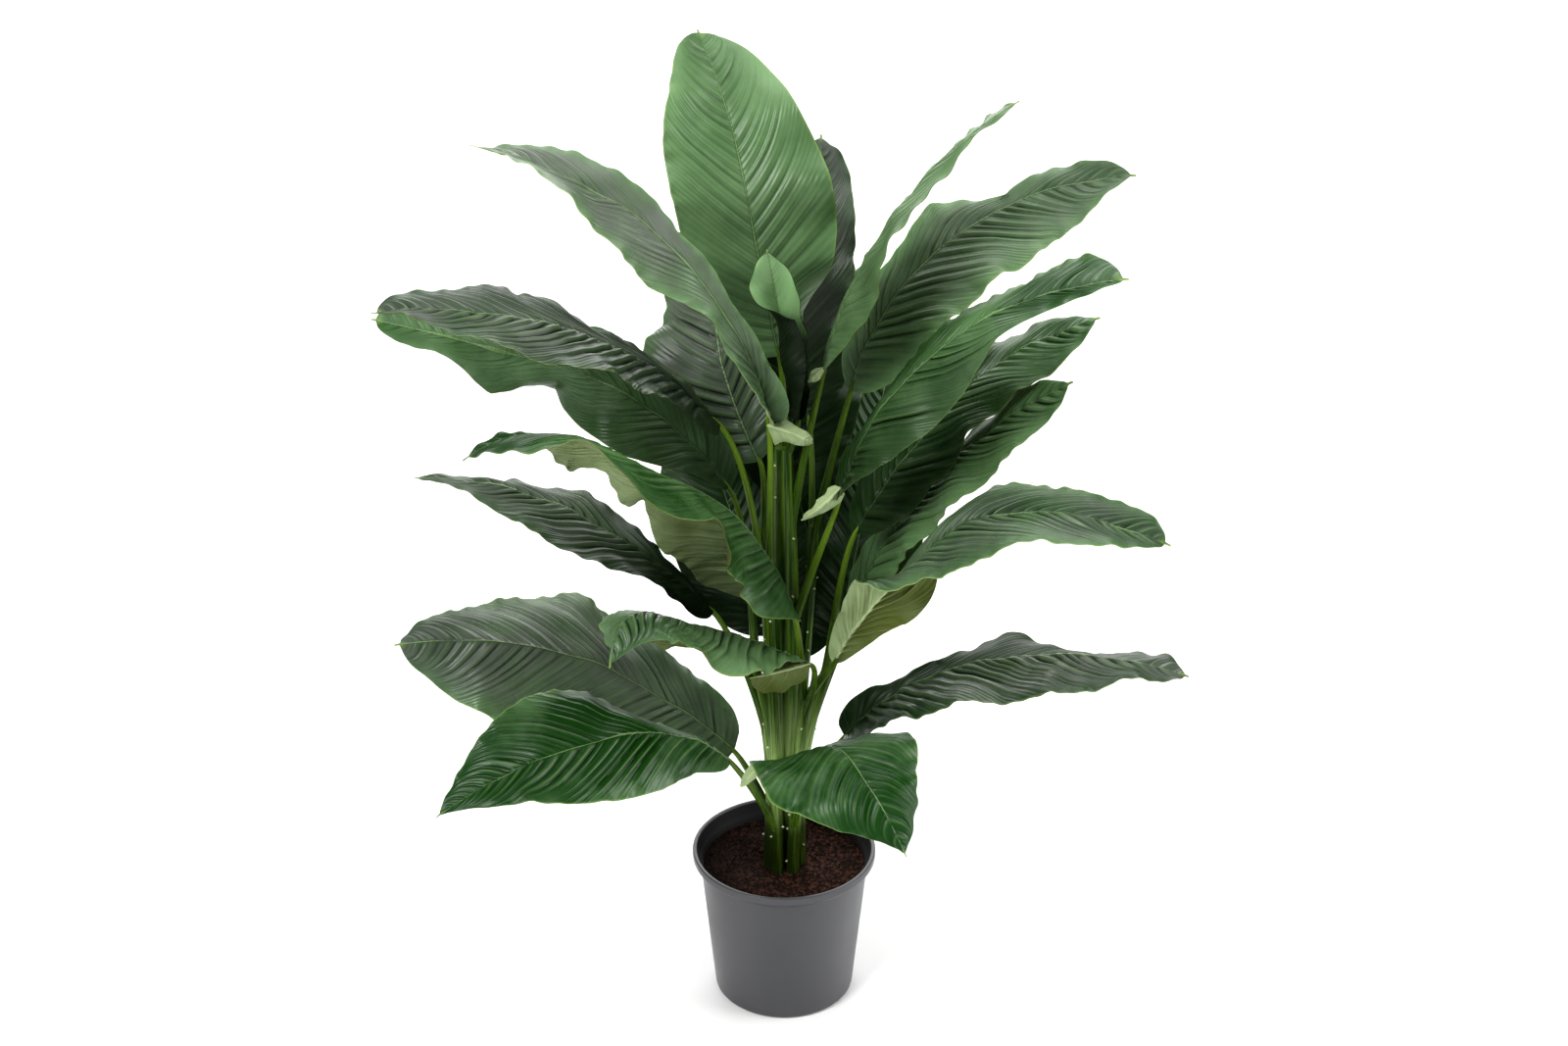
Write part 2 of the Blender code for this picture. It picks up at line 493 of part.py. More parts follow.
def make_soil(material):
    """The filling of the pot, low humps on top, with a hole for each stalk."""
    floor = POT_FLOOR + GAP
    edge = inner_radius(SOIL_TOP) - GAP
    profile = [(0, floor), (inner_radius(floor) - 3.4, floor),
               (inner_radius(floor + 3) - 2 * GAP, floor + 3.2),
               (edge - 0.3, SOIL_TOP - 2)]
    rings = 5
    profile += [(edge * (1 - step / (rings + 1)), SOIL_TOP) for step in range(rings + 1)]
    profile += [(0, SOIL_TOP)]
    soil = turned("soil", profile, SOIL_SIDES, material)
    for vertex in soil.data.vertices:
        x, y, height = vertex.co / MM
        if height > SOIL_TOP - 1:
            hump = math.sin(x / 9 + 1) * math.cos(y / 11) + 0.6 * math.sin((x + y) / 14)
            fade = 1 - (math.hypot(x, y) / edge) ** 4
            vertex.co.z += SOIL_SWELL * hump * fade * MM
    holes = []
    for name, stalk in STALKS.items():
        x, y = stalk[0]
        line = [(x, y, STALK_FOOT - GAP), (x, y, SOIL_TOP), (x, y, SOIL_TOP + 30)]
        shape = tube(line, [STALK_RADIUS + 2 * GAP] * 3, STALK_SIDES)
        holes.append(make_object("hole_" + name, *shape, material))
    combine(soil, holes, "DIFFERENCE")
    return soil


def main():
    for old in list(bpy.data.objects):
        bpy.data.objects.remove(old)
    plastic = make_material("pot_plastic", (0.075, 0.078, 0.085), 0.45)
    peat = make_material("soil_peat", (0.035, 0.018, 0.013), 0.95)
    stem_green = make_material("stem_green", (0.10, 0.18, 0.02), 0.5)
    leaf_green = make_material("leaf_green", (0.03, 0.09, 0.035), 0.45)
    make_pot(plastic)
    make_soil(peat)
    for name in STALKS:
        make_shoot(name, stem_green)
    for name, blade in BLADES.items():
        make_blade("leaf_" + name, blade, leaf_green)


main()
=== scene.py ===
import math

import bpy
import numpy as np
from mathutils import Matrix, Vector


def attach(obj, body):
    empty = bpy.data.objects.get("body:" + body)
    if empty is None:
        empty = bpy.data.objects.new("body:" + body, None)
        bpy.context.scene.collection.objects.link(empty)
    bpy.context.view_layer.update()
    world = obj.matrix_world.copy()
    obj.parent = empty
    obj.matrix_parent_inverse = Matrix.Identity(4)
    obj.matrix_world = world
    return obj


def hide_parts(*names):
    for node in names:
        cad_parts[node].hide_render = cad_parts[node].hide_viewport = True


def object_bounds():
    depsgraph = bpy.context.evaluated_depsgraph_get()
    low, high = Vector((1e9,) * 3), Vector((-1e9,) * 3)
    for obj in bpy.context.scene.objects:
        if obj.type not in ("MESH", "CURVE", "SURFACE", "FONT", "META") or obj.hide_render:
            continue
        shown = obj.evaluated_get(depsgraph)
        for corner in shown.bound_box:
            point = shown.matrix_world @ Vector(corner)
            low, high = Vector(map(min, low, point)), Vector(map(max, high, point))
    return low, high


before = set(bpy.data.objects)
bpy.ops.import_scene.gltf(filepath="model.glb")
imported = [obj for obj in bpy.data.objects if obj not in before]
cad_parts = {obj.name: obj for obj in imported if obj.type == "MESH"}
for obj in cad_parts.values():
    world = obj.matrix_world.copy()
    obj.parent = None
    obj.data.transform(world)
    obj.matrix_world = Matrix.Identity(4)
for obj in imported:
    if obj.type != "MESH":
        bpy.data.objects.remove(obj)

CAD_BOX = [list(corner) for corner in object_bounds()]

# Lengths are in millimetres and angles in degrees, as on a drawing, and become metres where a
# mesh is made. The stalks, the blades and their rules are those of the solid model.
MM = 0.001

# Pot
POT_HEIGHT = 150.0
POT_LIP_RADIUS = 85.0
POT_FOOT_RADIUS = 65.0
POT_NECK_RADIUS = 78.0
POT_NECK_HEIGHT = 137.0
POT_WALL = 2.2
POT_FLOOR = 3.0
POT_LIP_DROP = 9.0      # how far the rolled lip hangs down outside
POT_LIP_ROLL = 4.6      # and how thick the roll is
POT_LIP_INSIDE = 4.1    # how far in from the rim the pot's inner side begins
POT_SIDES = 144
CORNER_POINTS = 5       # in each rounded corner of its outline
DRAIN_COUNT = 6
DRAIN_RADIUS = 4.5
DRAIN_CIRCLE = 46.0
DRAIN_SIDES = 32
MOULD_RING = 1.2        # between the faint rings in the pot's wall

# Soil
SOIL_TOP = 132.0
SOIL_SWELL = 2.0
SOIL_SIDES = 96
SOIL_RINGS = 36
SOIL_GRAIN = (-0.7, 0.3)    # how far a point of its top may be lower or higher than the swell
SOIL_CLEAR = 0.3        # between the soil and the pot's wall
CRUMB_SPACING = 2.1
CRUMB_SIZE = 1.25
CRUMB_LEAST = (0.35, 0.35, 0.3)   # a crumb's length, width and height, as shares of its size
CRUMB_MOST = (1.3, 1.1, 0.9)
CRUMB_TURN = 6.28       # how far it is turned about each axis at most
CRUMB_DENSITY = 400000.0    # the most crumbs in a square metre

# Stalks and leaf stems
STALK_FOOT = 70.0
STALK_UPRIGHT = (12.0, 8.0)   # how far below and above the soil's top a stalk stands upright
STALK_RADIUS = 6.0
STALK_TIP_RADIUS = 5.0
CENTRE_HEIGHTS = (132.0, 260.0, 350.0, 430.0, 560.0)
CENTRE_RADII = (6.0, 8.5, 11.5, 11.5, 8.0)   # the centre stalk swells where its sheaths overlap
STALK_STEPS = 90
STEM_RADII = (4.8, 4.1, 3.3, 2.7, 2.2)   # a leaf stem's, in even steps from its sheath
STEM_TIP_RADIUS = 2.2
STEM_STEPS = 36
STEM_RISE = 0.6         # how strongly a leaf stem keeps its stalk's direction as it leaves
STEM_LEVEL = 0.6        # and its blade's direction as it arrives
STEM_SEAT = 0.6         # how far under its blade a leaf stem ends, as a share of its radius
STEM_OVERLAP = 9.0      # how far it then runs on there, as the blade's midrib
STEM_POINT = 0.55       # and how thin it gets
STEM_AIM = 10.0         # a leaf stem leaves its stalk as the stalk runs over this height
RIBS_ROUND = 5
RIB_TWIST = 3.0
PEG_STEP = 13.0         # between the small pegs up a stalk
PEG_UNEVEN = (0.5, 1.6)   # the least and the most of it
PEG_ENDS = (10.0, 15.0)   # how far from the soil and from the stalk's top they stay
PEG_RADIUS = 1.1

# Blades
BLADE_THICKNESS = 0.7
BLADE_RIB = 2.4         # how far the midrib stands out below, at the blade's base
RIB_WIDTH = 1.9
RIB_GROOVE = 1.1        # how deep the upper side sinks beside the midrib
GROOVE_WIDTH = 2.0
RIB_RIDGE = 0.9         # and how far the midrib stands up in that furrow
RIDGE_WIDTH = 0.7
RIB_TAPER = 0.75        # how much of the furrow's depth and the midrib's colour is gone at the tip
BLADE_BASE_HALF = 2.4
BLADE_TIP_HALF = 0.9
FULLEST = 0.43
TIP_DRAW = 0.7
TIP_START = 0.985
HALF_WAVES = 9          # of the long waves in each edge
DENSE_STATIONS = 400
CURVE_STEPS = 40        # from one point of a midrib or stalk to the next
HALF_COLUMNS = (0.01, 0.022, 0.04, 0.065, 0.1, 0.15, 0.21, 0.28, 0.36, 0.44, 0.52, 0.6, 0.68,
                0.76, 0.83, 0.89, 0.94, 0.975, 1.0)
VEIN_SPACING = 12.5     # between side veins, along the midrib
VEIN_UNEVEN = (0.6, 1.4)    # the least and the most of it
ROWS_PER_VEIN = 8
VEIN_SWEEP = 0.27       # how far a side vein runs towards the tip, as a share of the length
VEIN_CURVE = 1.12       # above one, a side vein bends up towards the tip at the margin
SWEEP_MOST = 0.42       # where along the blade the side veins run furthest
VEIN_WANDER = 0.22      # how far a side vein strays at the margin, in steps between veins
VEIN_STRENGTH = (0.2, 1.35)
VEIN_REACH = (0.4, 0.9)     # where a side vein is half faded, as a share of the half width
VEIN_FADE = 0.5         # over how much of the half width it fades
VEIN_LEAST = 0.08       # and what is left of it
VEIN_CLEAR = 0.06       # the share of the half width and of the length over which veins rise
VEIN_END = 0.1          # and the share of the length over which they die out at the tip
FINE_LINES = 3          # from one side vein to the next
FINE_WANDER = 2.5
PLEAT_DEPTH = 2.3
PLEAT_CREST = 0.32      # where between two veins a pleat is highest
PLEAT_ROOM = 7.0        # veins that run closer together than this have shallower pleats
HUMPS = 6               # soft waves that run over a blade
HUMP_HEIGHT = 0.5
HUMP_LENGTHS = (30.0, 75.0)
HUMP_ENDS = (0.1, 0.12)     # the shares of the length over which they rise, at base and tip
FRILLS = 2              # small waves in each margin
FRILL_HEIGHT = 0.8
FRILL_LENGTHS = (15.0, 30.0)
# Painted shade in the bunch's middle:
CORE_REACH = 85.0       # how far from the middle the bunch is dark
CORE_TOP = 600.0        # and how far up
CORE_FADE = 100.0       # over how much height it turns light
CORE_MOST = 0.9
BOX_MARGIN = 2.5        # points nearer to the solid model's box than this are drawn in
BLADE_SHARP = 60.0      # edges sharper than this stay sharp

# Colours, as the renderer takes them
# Of these, the leaf grey is a painted sheen; the leaf shade, the core colour, the shaded underside and the
# pot's inside colour are painted shade; the fresh leaf green and the underside's olive and pale are partly
# painted light and shade; and the vein colour is also a painted highlight.
LEAF_DEEP = (0.006, 0.047, 0.003)
LEAF_FRESH_LIT = (0.222, 0.380, 0.172)
LEAF_SHEEN_GREY = (0.090, 0.092, 0.086)
LEAF_SHADE = (0.004, 0.016, 0.002)
LEAF_CORE_SHADE = (0.003, 0.009, 0.001)
LEAF_VEIN_AND_HIGHLIGHT = (0.22, 0.36, 0.14)
LEAF_MARGIN = (0.25, 0.39, 0.09)
UNDER_SHADED = (0.004, 0.014, 0.003)
UNDER_OLIVE = (0.085, 0.110, 0.020)
UNDER_PALE = (0.33, 0.42, 0.22)
UNDER_VEIN = (0.42, 0.50, 0.28)
STEM_DARK = (0.007, 0.042, 0.001)
STEM_OLIVE = (0.075, 0.135, 0.010)
STEM_BRIGHT = (0.17, 0.28, 0.02)
STEM_PALE = (0.22, 0.33, 0.09)
STEM_FOOT = (0.016, 0.028, 0.003)
PEG_PALE = (0.75, 0.78, 0.62)
POT_GREY = (0.050, 0.050, 0.055)
POT_INSIDE_SHADE = (0.004, 0.0035, 0.0035)
PEAT_DARK = (0.010, 0.0045, 0.003)
PEAT_BROWN = (0.080, 0.034, 0.022)
FLOOR_WHITE = (0.92, 0.92, 0.92, 1)
SKY_WHITE = (1, 1, 1, 1)

# Studio, in metres: each light's name, place, aim, size and power
LIGHTS = (
    ("key", (-1.9, -2.0, 2.6), (0, 0, 0.5), 1.6, 98),
    ("top", (0.3, 0.2, 3.2), (0, 0, 0.5), 2.4, 46),
    ("side", (2.4, -0.4, 1.3), (0, 0, 0.4), 1.6, 46),
    ("back", (0.0, 3.4, 2.4), (0, 0, 0.5), 3.6, 110),
)
SKY_STRENGTH = 0.24
FLOOR_HALF = 9
CAMERA_PLACE = (0, -2.040, 1.526)
CAMERA_TILT = 63.03
CAMERA_LENS = 60.17
CAMERA_SENSOR = 36

# Seeds of the random draws. A lobe or stalk adds its number, and a blade's seed is its number.
LOBE_SEED = 200
PEG_SEED = 100
SOIL_SEED = 5
CRUMB_SEED = 3

# Each stalk: where it stands in the soil, and the points that it passes on its way up.
STALKS = {
    "centre": ((1, 0), (2, 0, 350), (0, 2, 560)),
    "front_left": ((-6, -12), (-10, -22, 300), (-14, -26, 430)),
    "front_right": ((8, -12), (14, -24, 250), (18, -32, 330)),
    "right": ((14, 0), (18, -2, 250), (38, 4, 335)),
    "back_right": ((8, 13), (18, 24, 330), (28, 30, 470)),
    "back_left": ((-6, 12), (-12, 26, 330), (-20, 34, 450)),
    "left": ((-13, -1), (-13, 4, 250), (-27, 6, 340)),
}

# Each blade: its stalk and how far up that stalk its stem leaves, points along its midrib from
# base to tip, its full width, the height of its edge waves and where each edge's waves start, in
# degrees. Then, in even steps from base to tip: where its upper side looks, how far its left and
# right halves rise from the midrib in degrees, how much each half bends on to its edge (curl),
# and how much of the width each half has (full). A blade that gives no curl has CURL.
# For nineteen blades a least-squares fit to the photograph's outlines worked out the inner points,
# the rises, the shares of the width, the wave heights and the phases, which were then rounded. In
# four of them, arch_right, front_low, back_right_high and back_left_high, part was then changed.
# A seeded draw gave the phases of the other five.
CURL = (-10, -10)
BLADES = {
    "crown": dict(
        stalk="centre", leaves=0.8, width=132, wave=5.5, draw=0.42, phase=(330, 50),
        points=((-4, 15, 640), (-24, 35, 736), (-45, 70, 829), (-73, 115, 896)),
        face=((0.1, -0.9, 0.3), (-0.1, -0.8, 0.6)),
        rise=((12, 12, 16, 28, 62), (-50, -7, 7, 0, -28)), curl=(-15, -10),
        full=((0.9, 0.9, 0.9, 0.95, 1.05, 1, 1.05), (0.5, 0.95, 1.1, 1.1, 1, 0.95, 0.9))),
    "young": dict(
        stalk="centre", leaves=0.95, width=84, wave=1, phase=(185, 340),
        points=((12, -8, 590), (4, -11, 640), (-4, -13, 690), (-14, -20, 750)),
        face=((0.1, -1, 0.2), (0, -1, 0.5)),
        rise=((40, 40, 40, 45, 45, 10, 0), (35, 35, 35, 30, 25, 15, 0)),
        curl=((100, 110, 140, 150, 135, 20, 0), (20, 20, 20, 20, 15, 10, 10)),
        full=((0.7, 0.9, 1, 1, 1, 0.9, 0.9), (0.5, 0.5, 0.5, 0.55, 0.6, 0.7, 0.8))),
    "upper_left": dict(
        stalk="front_left", leaves=0.9, width=98, wave=2, phase=(190, 95),
        points=((-12, -20, 592), (-45, -55, 701), (-124, -75, 804), (-248, -60, 853)),
        face=((0.95, -0.3, 0.4), (0.4, -0.4, 0.8), (0.1, 0, 1)),
        rise=((44, -20, -41, 9, 40), (96, 58, 29, 13, -5)), curl=(-10, 0),
        full=((0.8, 0.5, 0.25, 0.7, 0.9, 1.1, 1.25), (1.1, 0.3, 0.25, 0.3, 0.6, 1.1, 1.3))),
    "right_narrow": dict(
        stalk="centre", leaves=0.7, width=90, wave=1.5, phase=(0, 130),
        points=((33, -10, 640), (59, -10, 718), (123, 0, 813), (191, 10, 867)),
        face=((-0.9, -0.3, 0.5), (-0.85, 0.1, 0.5), (-0.6, 0.3, 0.8)),
        rise=((-9, -10, -4, 2, 24), (22, -4, 3, -22, -43)),
        full=((0.75, 0.9, 1.05, 1.1, 1.15, 1.1, 1), (1.2, 1.3, 1.3, 1.05, 0.65, 0.25, 0.55))),
    "left_upper": dict(
        stalk="front_left", leaves=0.7, width=95, wave=3, draw=0.45, phase=(20, 5),
        points=((-54, -25, 595), (-135, -50, 673), (-192, -80, 710), (-330, -100, 726)),
        face=((0.4, -0.1, 0.9), (0.1, 0, 1)),
        rise=((5, 8, 2, -9, 13), (-17, -6, -3, 5, 31)), curl=(-5, -5),
        full=((1.3, 1.4, 1.5, 1.45, 1.25, 0.75, 0.25), (0.85, 0.8, 0.8, 1.2, 1.2, 0.9, 1))),
    "left_under": dict(
        stalk="left", leaves=0.9, width=106, wave=7, draw=0.42, phase=(255, 100),
        points=((-48, 0, 523), (-131, 0, 609), (-247, -15, 660), (-344, -22, 689)),
        face=((0.4, -0.6, 0.8), (0.1, -0.6, 0.9)),
        rise=((44, 2, -96, -54, -26), (-10, -9, -7, -6, -5)), curl=(-10, -5),
        full=((0.65, 0.85, 0.95, 0.9, 0.9, 0.4, 0.55), (1, 1, 1, 1, 1, 1, 1))),
    "low_left_front": dict(
        stalk="front_left", leaves=0.12, width=125, wave=1, phase=(295, 155),
        points=((-48, -45, 272), (-109, -95, 333), (-202, -145, 338), (-294, -180, 300)),
        face=((0.2, -0.6, 0.8), (-0.1, -0.6, 0.8), (-0.5, -0.6, 0.6)),
        rise=((12, -7, -9, 15, 6), (-58, -52, -12, 8, 2)),
        full=((0.6, 0.6, 0.85, 0.9, 0.9, 0.7, 0.25), (0.65, 0.75, 0.9, 1.1, 1.15, 1.05, 0.65))),
    "arch_left": dict(
        stalk="front_right", leaves=0.9, width=125, wave=8, phase=(15, 50),
        points=((10, -42, 419), (-53, -90, 553), (-88, -122, 590), (-212, -124, 631), (-261, -118, 605)),
        face=((0.6, 0.3, 0.6), (0.3, 0.6, 0.7), (0, 0.2, 1)),
        rise=((-3, -57, -34, 2, -16), (-34, -50, -16, -37, 38)),
        full=((1.25, 1.3, 1.05, 0.85, 1.9, 1.45, 1), (1.55, 1.3, 1.1, 0.9, 0.7, 0.95, 1.25))),
    "small_front": dict(
        stalk="front_right", leaves=0.85, width=95, wave=4.5, phase=(70, 240),
        points=((24, -50, 375), (-69, -105, 443), (-130, -150, 476), (-143, -183, 448)),
        face=((0.2, 0.3, 0.9), (0, 0.3, 0.9), (-0.5, -0.3, 0.8)),
        rise=((10, -10, -17, -10, -48), (-42, -27, -11, -8, -51)), curl=(-15, -15),
        full=((0.25, 0.75, 1.25, 1.7, 1.65, 1.35, 0.75), (0.9, 1.05, 1.15, 1.35, 1.5, 1.55, 1.35))),
    "front_low": dict(
        stalk="front_right", leaves=0.2, width=135, wave=3.5, phase=(30, 115),
        points=((16, -50, 262), (48, -100, 318), (75, -150, 308), (104, -182, 262)),
        face=((-0.2, 0.2, 1), (0, -0.8, 0.5)),
        rise=((33, -11, -6, -17, -34), (25, 20, 6, -5, -19)), curl=(-20, -10),
        full=((0.8, 0.85, 0.95, 1, 0.85, 0.85, 0.75), (1.15, 1.15, 1.15, 1.2, 1, 0.75, 0.35))),
    "arch_right": dict(
        stalk="front_right", leaves=0.95, width=105, wave=3, draw=0.5, phase=(160, 355),
        points=((45, -30, 365), (87, -75, 460), (166, -115, 552), (316, -140, 538)),
        face=((0.45, 0.86, 0.2), (0.45, 0.86, 0.2), (0.4, 0.86, 0.3), (-0.4, 0.5, 0.75),
              (-0.35, 0, 0.9), (-0.1, -0.1, 1), (0, -0.1, 1), (0, -0.1, 1), (0, -0.1, 1)),
        rise=((10, 10, 20, 50, 45, 30, 14, 30, 50), (10, 10, 5, 0, -9, -4, 3, 5, 7)),
        curl=((0, -20, -40, -110, -130, -60, -10, -10, -10), (-30, -30, -10, -10)),
        full=((0.3, 0.5, 0.85, 1, 0.9, 0.7, 1.1), (0.4, 0.45, 0.7, 0.95, 0.95, 1.05, 1.1))),
    "right_front": dict(
        stalk="centre", leaves=0.5, width=105, wave=1.5, draw=0.5, phase=(340, 350),
        points=((46, -40, 532), (106, -80, 667), (180, -110, 737), (271, -120, 763)),
        face=((-0.7, -0.3, 0.5), (-0.4, -0.4, 0.7), (-0.1, -0.7, 0.7)),
        rise=((10, -21, -22, -39, -17), (35, -17, -40, -17, 16)), curl=(-10, -15),
        full=((0.6, 0.5, 0.7, 0.9, 1.05, 1.3, 1.9), (0.4, 0.7, 0.85, 0.8, 0.4, 0.35, 0.25))),
    "low_right": dict(
        stalk="right", leaves=0.3, width=95, wave=4, draw=0.5, phase=(290, 135),
        points=((55, 0, 271), (125, -10, 337), (223, -20, 367), (360, -30, 350)),
        face=((-0.4, -0.1, 0.9), (0, 0, 1)),
        rise=((53, 16, 1, -31, 10), (14, 7, 2, -12, 1)), curl=(-5, -5),
        full=((0.8, 0.4, 0.25, 0.8, 0.95, 1.1, 1.55), (1.05, 1.2, 1.3, 1.4, 1.25, 0.8, 0.8))),
    "right_mid": dict(
        stalk="right", leaves=0.95, width=100, wave=3.5, phase=(115, 35),
        points=((62, 5, 476), (108, 25, 542), (178, 40, 617), (272, 50, 661)),
        face=((-0.6, -0.4, 0.6), (-0.3, -0.2, 0.9)),
        rise=((2, 0, -4, -13, -1), (-9, -5, 3, -7, -15)),
        full=((1, 1, 1, 1, 1.05, 1.05, 1.1), (1.05, 1, 0.95, 0.9, 0.95, 1.2, 1.35))),
    "right_low_mid": dict(
        stalk="right", leaves=0.7, width=105, wave=2, phase=(85, 290),
        points=((60, 15, 386), (91, 15, 464), (155, 5, 555), (245, -5, 625)),
        face=((-0.7, -0.4, 0.5), (-0.5, -0.3, 0.8)),
        rise=((-3, -23, -39, -18, 33), (5, 16, 12, -5, -26)),
        full=((1.2, 1.15, 1.1, 0.9, 0.8, 0.8, 0.9), (0.95, 0.9, 0.9, 0.95, 0.95, 0.9, 1.15))),
    "right_top": dict(
        stalk="back_right", leaves=0.95, width=108, wave=5, phase=(30, 25),
        points=((57, 20, 606), (111, 45, 704), (172, 75, 743), (301, 90, 775)),
        face=((-0.5, -0.6, 0.5), (-0.1, -0.6, 0.8)),
        rise=((-9, -4, 8, -7, 13), (10, 13, 15, 1, 19)),
        full=((0.85, 0.7, 0.55, 0.7, 0.25, 0.75, 1.1), (1.35, 1.3, 1.2, 1.25, 1.2, 1.2, 0.8))),
    "back_right_high": dict(
        stalk="back_right", leaves=0.7, width=110, wave=4.5, phase=(315, 65),
        points=((22, 65, 556), (16, 100, 634), (29, 145, 715), (33, 205, 773)),
        face=((0.1, -0.9, 0.4), (0.1, -0.8, 0.6)),
        rise=((5, 4, 2, 1, 0), (4, 2, 2, 6, 16)), curl=(-10, -25),
        full=((1, 0.8, 0.7, 0.75, 0.9, 1, 1), (1.05, 0.95, 0.85, 0.8, 0.75, 0.9, 1.2))),
    "back_left_high": dict(
        stalk="back_left", leaves=0.95, width=115, wave=5, phase=(225, 200),
        points=((-22, 38, 530), (-54, 75, 602), (-68, 115, 655), (-112, 155, 700)),
        face=((-0.3, -0.8, 0.5), (-0.3, -0.8, 0.6)),
        rise=((8, 9, 3, -20, -13), (5, 4, 3, 1, 0)),
        full=((1.05, 1.2, 1.3, 1.3, 1.15, 1, 0.85), (0.8, 0.8, 0.75, 0.7, 0.65, 0.7, 0.9))),
    "back_left_low": dict(
        stalk="back_left", leaves=0.5, width=125, wave=4, phase=(145, 260),
        points=((-15, 45, 350), (-40, 90, 426), (-67, 125, 489), (-99, 160, 542)),
        face=((-0.1, -0.8, 0.5), (-0.1, -0.8, 0.6)),
        rise=((5, 0), (5, 0))),
    "mid_left": dict(
        stalk="left", leaves=0.6, width=80, wave=1.5, phase=(120, 5),
        points=((-63, 0, 401), (-151, 5, 475), (-211, 15, 504), (-325, 25, 519)),
        face=((0.4, -0.3, 0.8), (0.1, -0.1, 1)),
        rise=((22, 33, 5, -15, -4), (-27, -16, -8, -24, -9)),
        full=((1.9, 1.75, 1.6, 1.3, 1, 0.6, 0.25), (0.85, 0.95, 1.1, 1.2, 1.15, 1.1, 1))),
    "low_left_big": dict(
        stalk="left", leaves=0.2, width=130, wave=6, draw=0.5, phase=(290, 20),
        points=((-46, 12, 248), (-126, 5, 319), (-196, -15, 366), (-341, -45, 391)),
        face=((0.4, -0.5, 0.8), (0, -0.5, 0.9)),
        rise=((3, 2, -5, -24, -46), (0, -17, -18, -21, -3)),
        full=((0.9, 1, 1.1, 1.25, 1.35, 1.25, 1.05), (1.05, 0.95, 1.2, 1.45, 1.25, 1.05, 0.65))),
    "back_high": dict(
        stalk="back_left", leaves=0.8, width=120, wave=4, phase=(280, 220),
        points=((0, 60, 480), (10, 120, 555), (20, 190, 600), (30, 270, 600)),
        face=((0, -0.6, 0.8), (0, 0, 1)),
        rise=((5, 0), (5, 0))),
    "back_mid": dict(
        stalk="back_right", leaves=0.45, width=120, wave=4, phase=(130, 70),
        points=((50, 48, 335), (70, 105, 430), (88, 175, 510), (105, 250, 545)),
        face=((-0.2, -0.6, 0.8), (0, 0, 1)),
        rise=((5, 0), (5, 0))),
    "back_low": dict(
        stalk="back_left", leaves=0.3, width=115, wave=4, phase=(250, 230),
        points=((14, 58, 318), (4, 125, 392), (-20, 200, 420), (-60, 272, 402)),
        face=((0, -0.5, 0.8), (0, 0.2, 1)),
        rise=((5, 0), (5, 0))),
}


def lobe(width, points, **more):
    """A small lobe, given as a blade is, folded over so that its underside shows."""
    form = dict(width=width, points=points, wave=0.5, phase=(0, 90), face=((0.1, 0.8, -0.4),),
                rise=((20, 10), (25, 10)), curl=(40, 40))
    return {**form, **more}


# The small lobes at the foot of some blades
LOBES = {
    "lobe_upper_left": lobe(17, ((-13, -23, 592), (5, -32, 590), (24, -30, 579)), wave=1.2, draw=0.3,
                            full=((3.2, 1.8, 1.3, 1, 0.9), (3.2, 1.7, 1.1, 1, 1.1))),
    "lobe_right_front": lobe(12, ((48, -41, 542), (35, -48, 531), (15, -44, 513)), wave=1.2,
                             full=((3.0, 1.5, 0.9, 1, 0.8), (3.2, 1.9, 1.2, 0.8, 0.9))),
    "lobe_small_front": lobe(46, ((22, -53, 378), (-3, -65, 376), (-30, -75, 375)), draw=0.4,
                             face=((0, 0.8, -0.4),), rise=((10, 10), (15, 10)), curl=(0, 45),
                             full=(0.1, 1)),
    "lobe_front_low": lobe(15, ((-21, -53, 274), (-30, -60, 266), (-39, -64, 257))),
    "lobe_right_narrow": lobe(10, ((33, -12, 640), (27, -16, 636), (20, -16, 629)), wave=0.3),
}
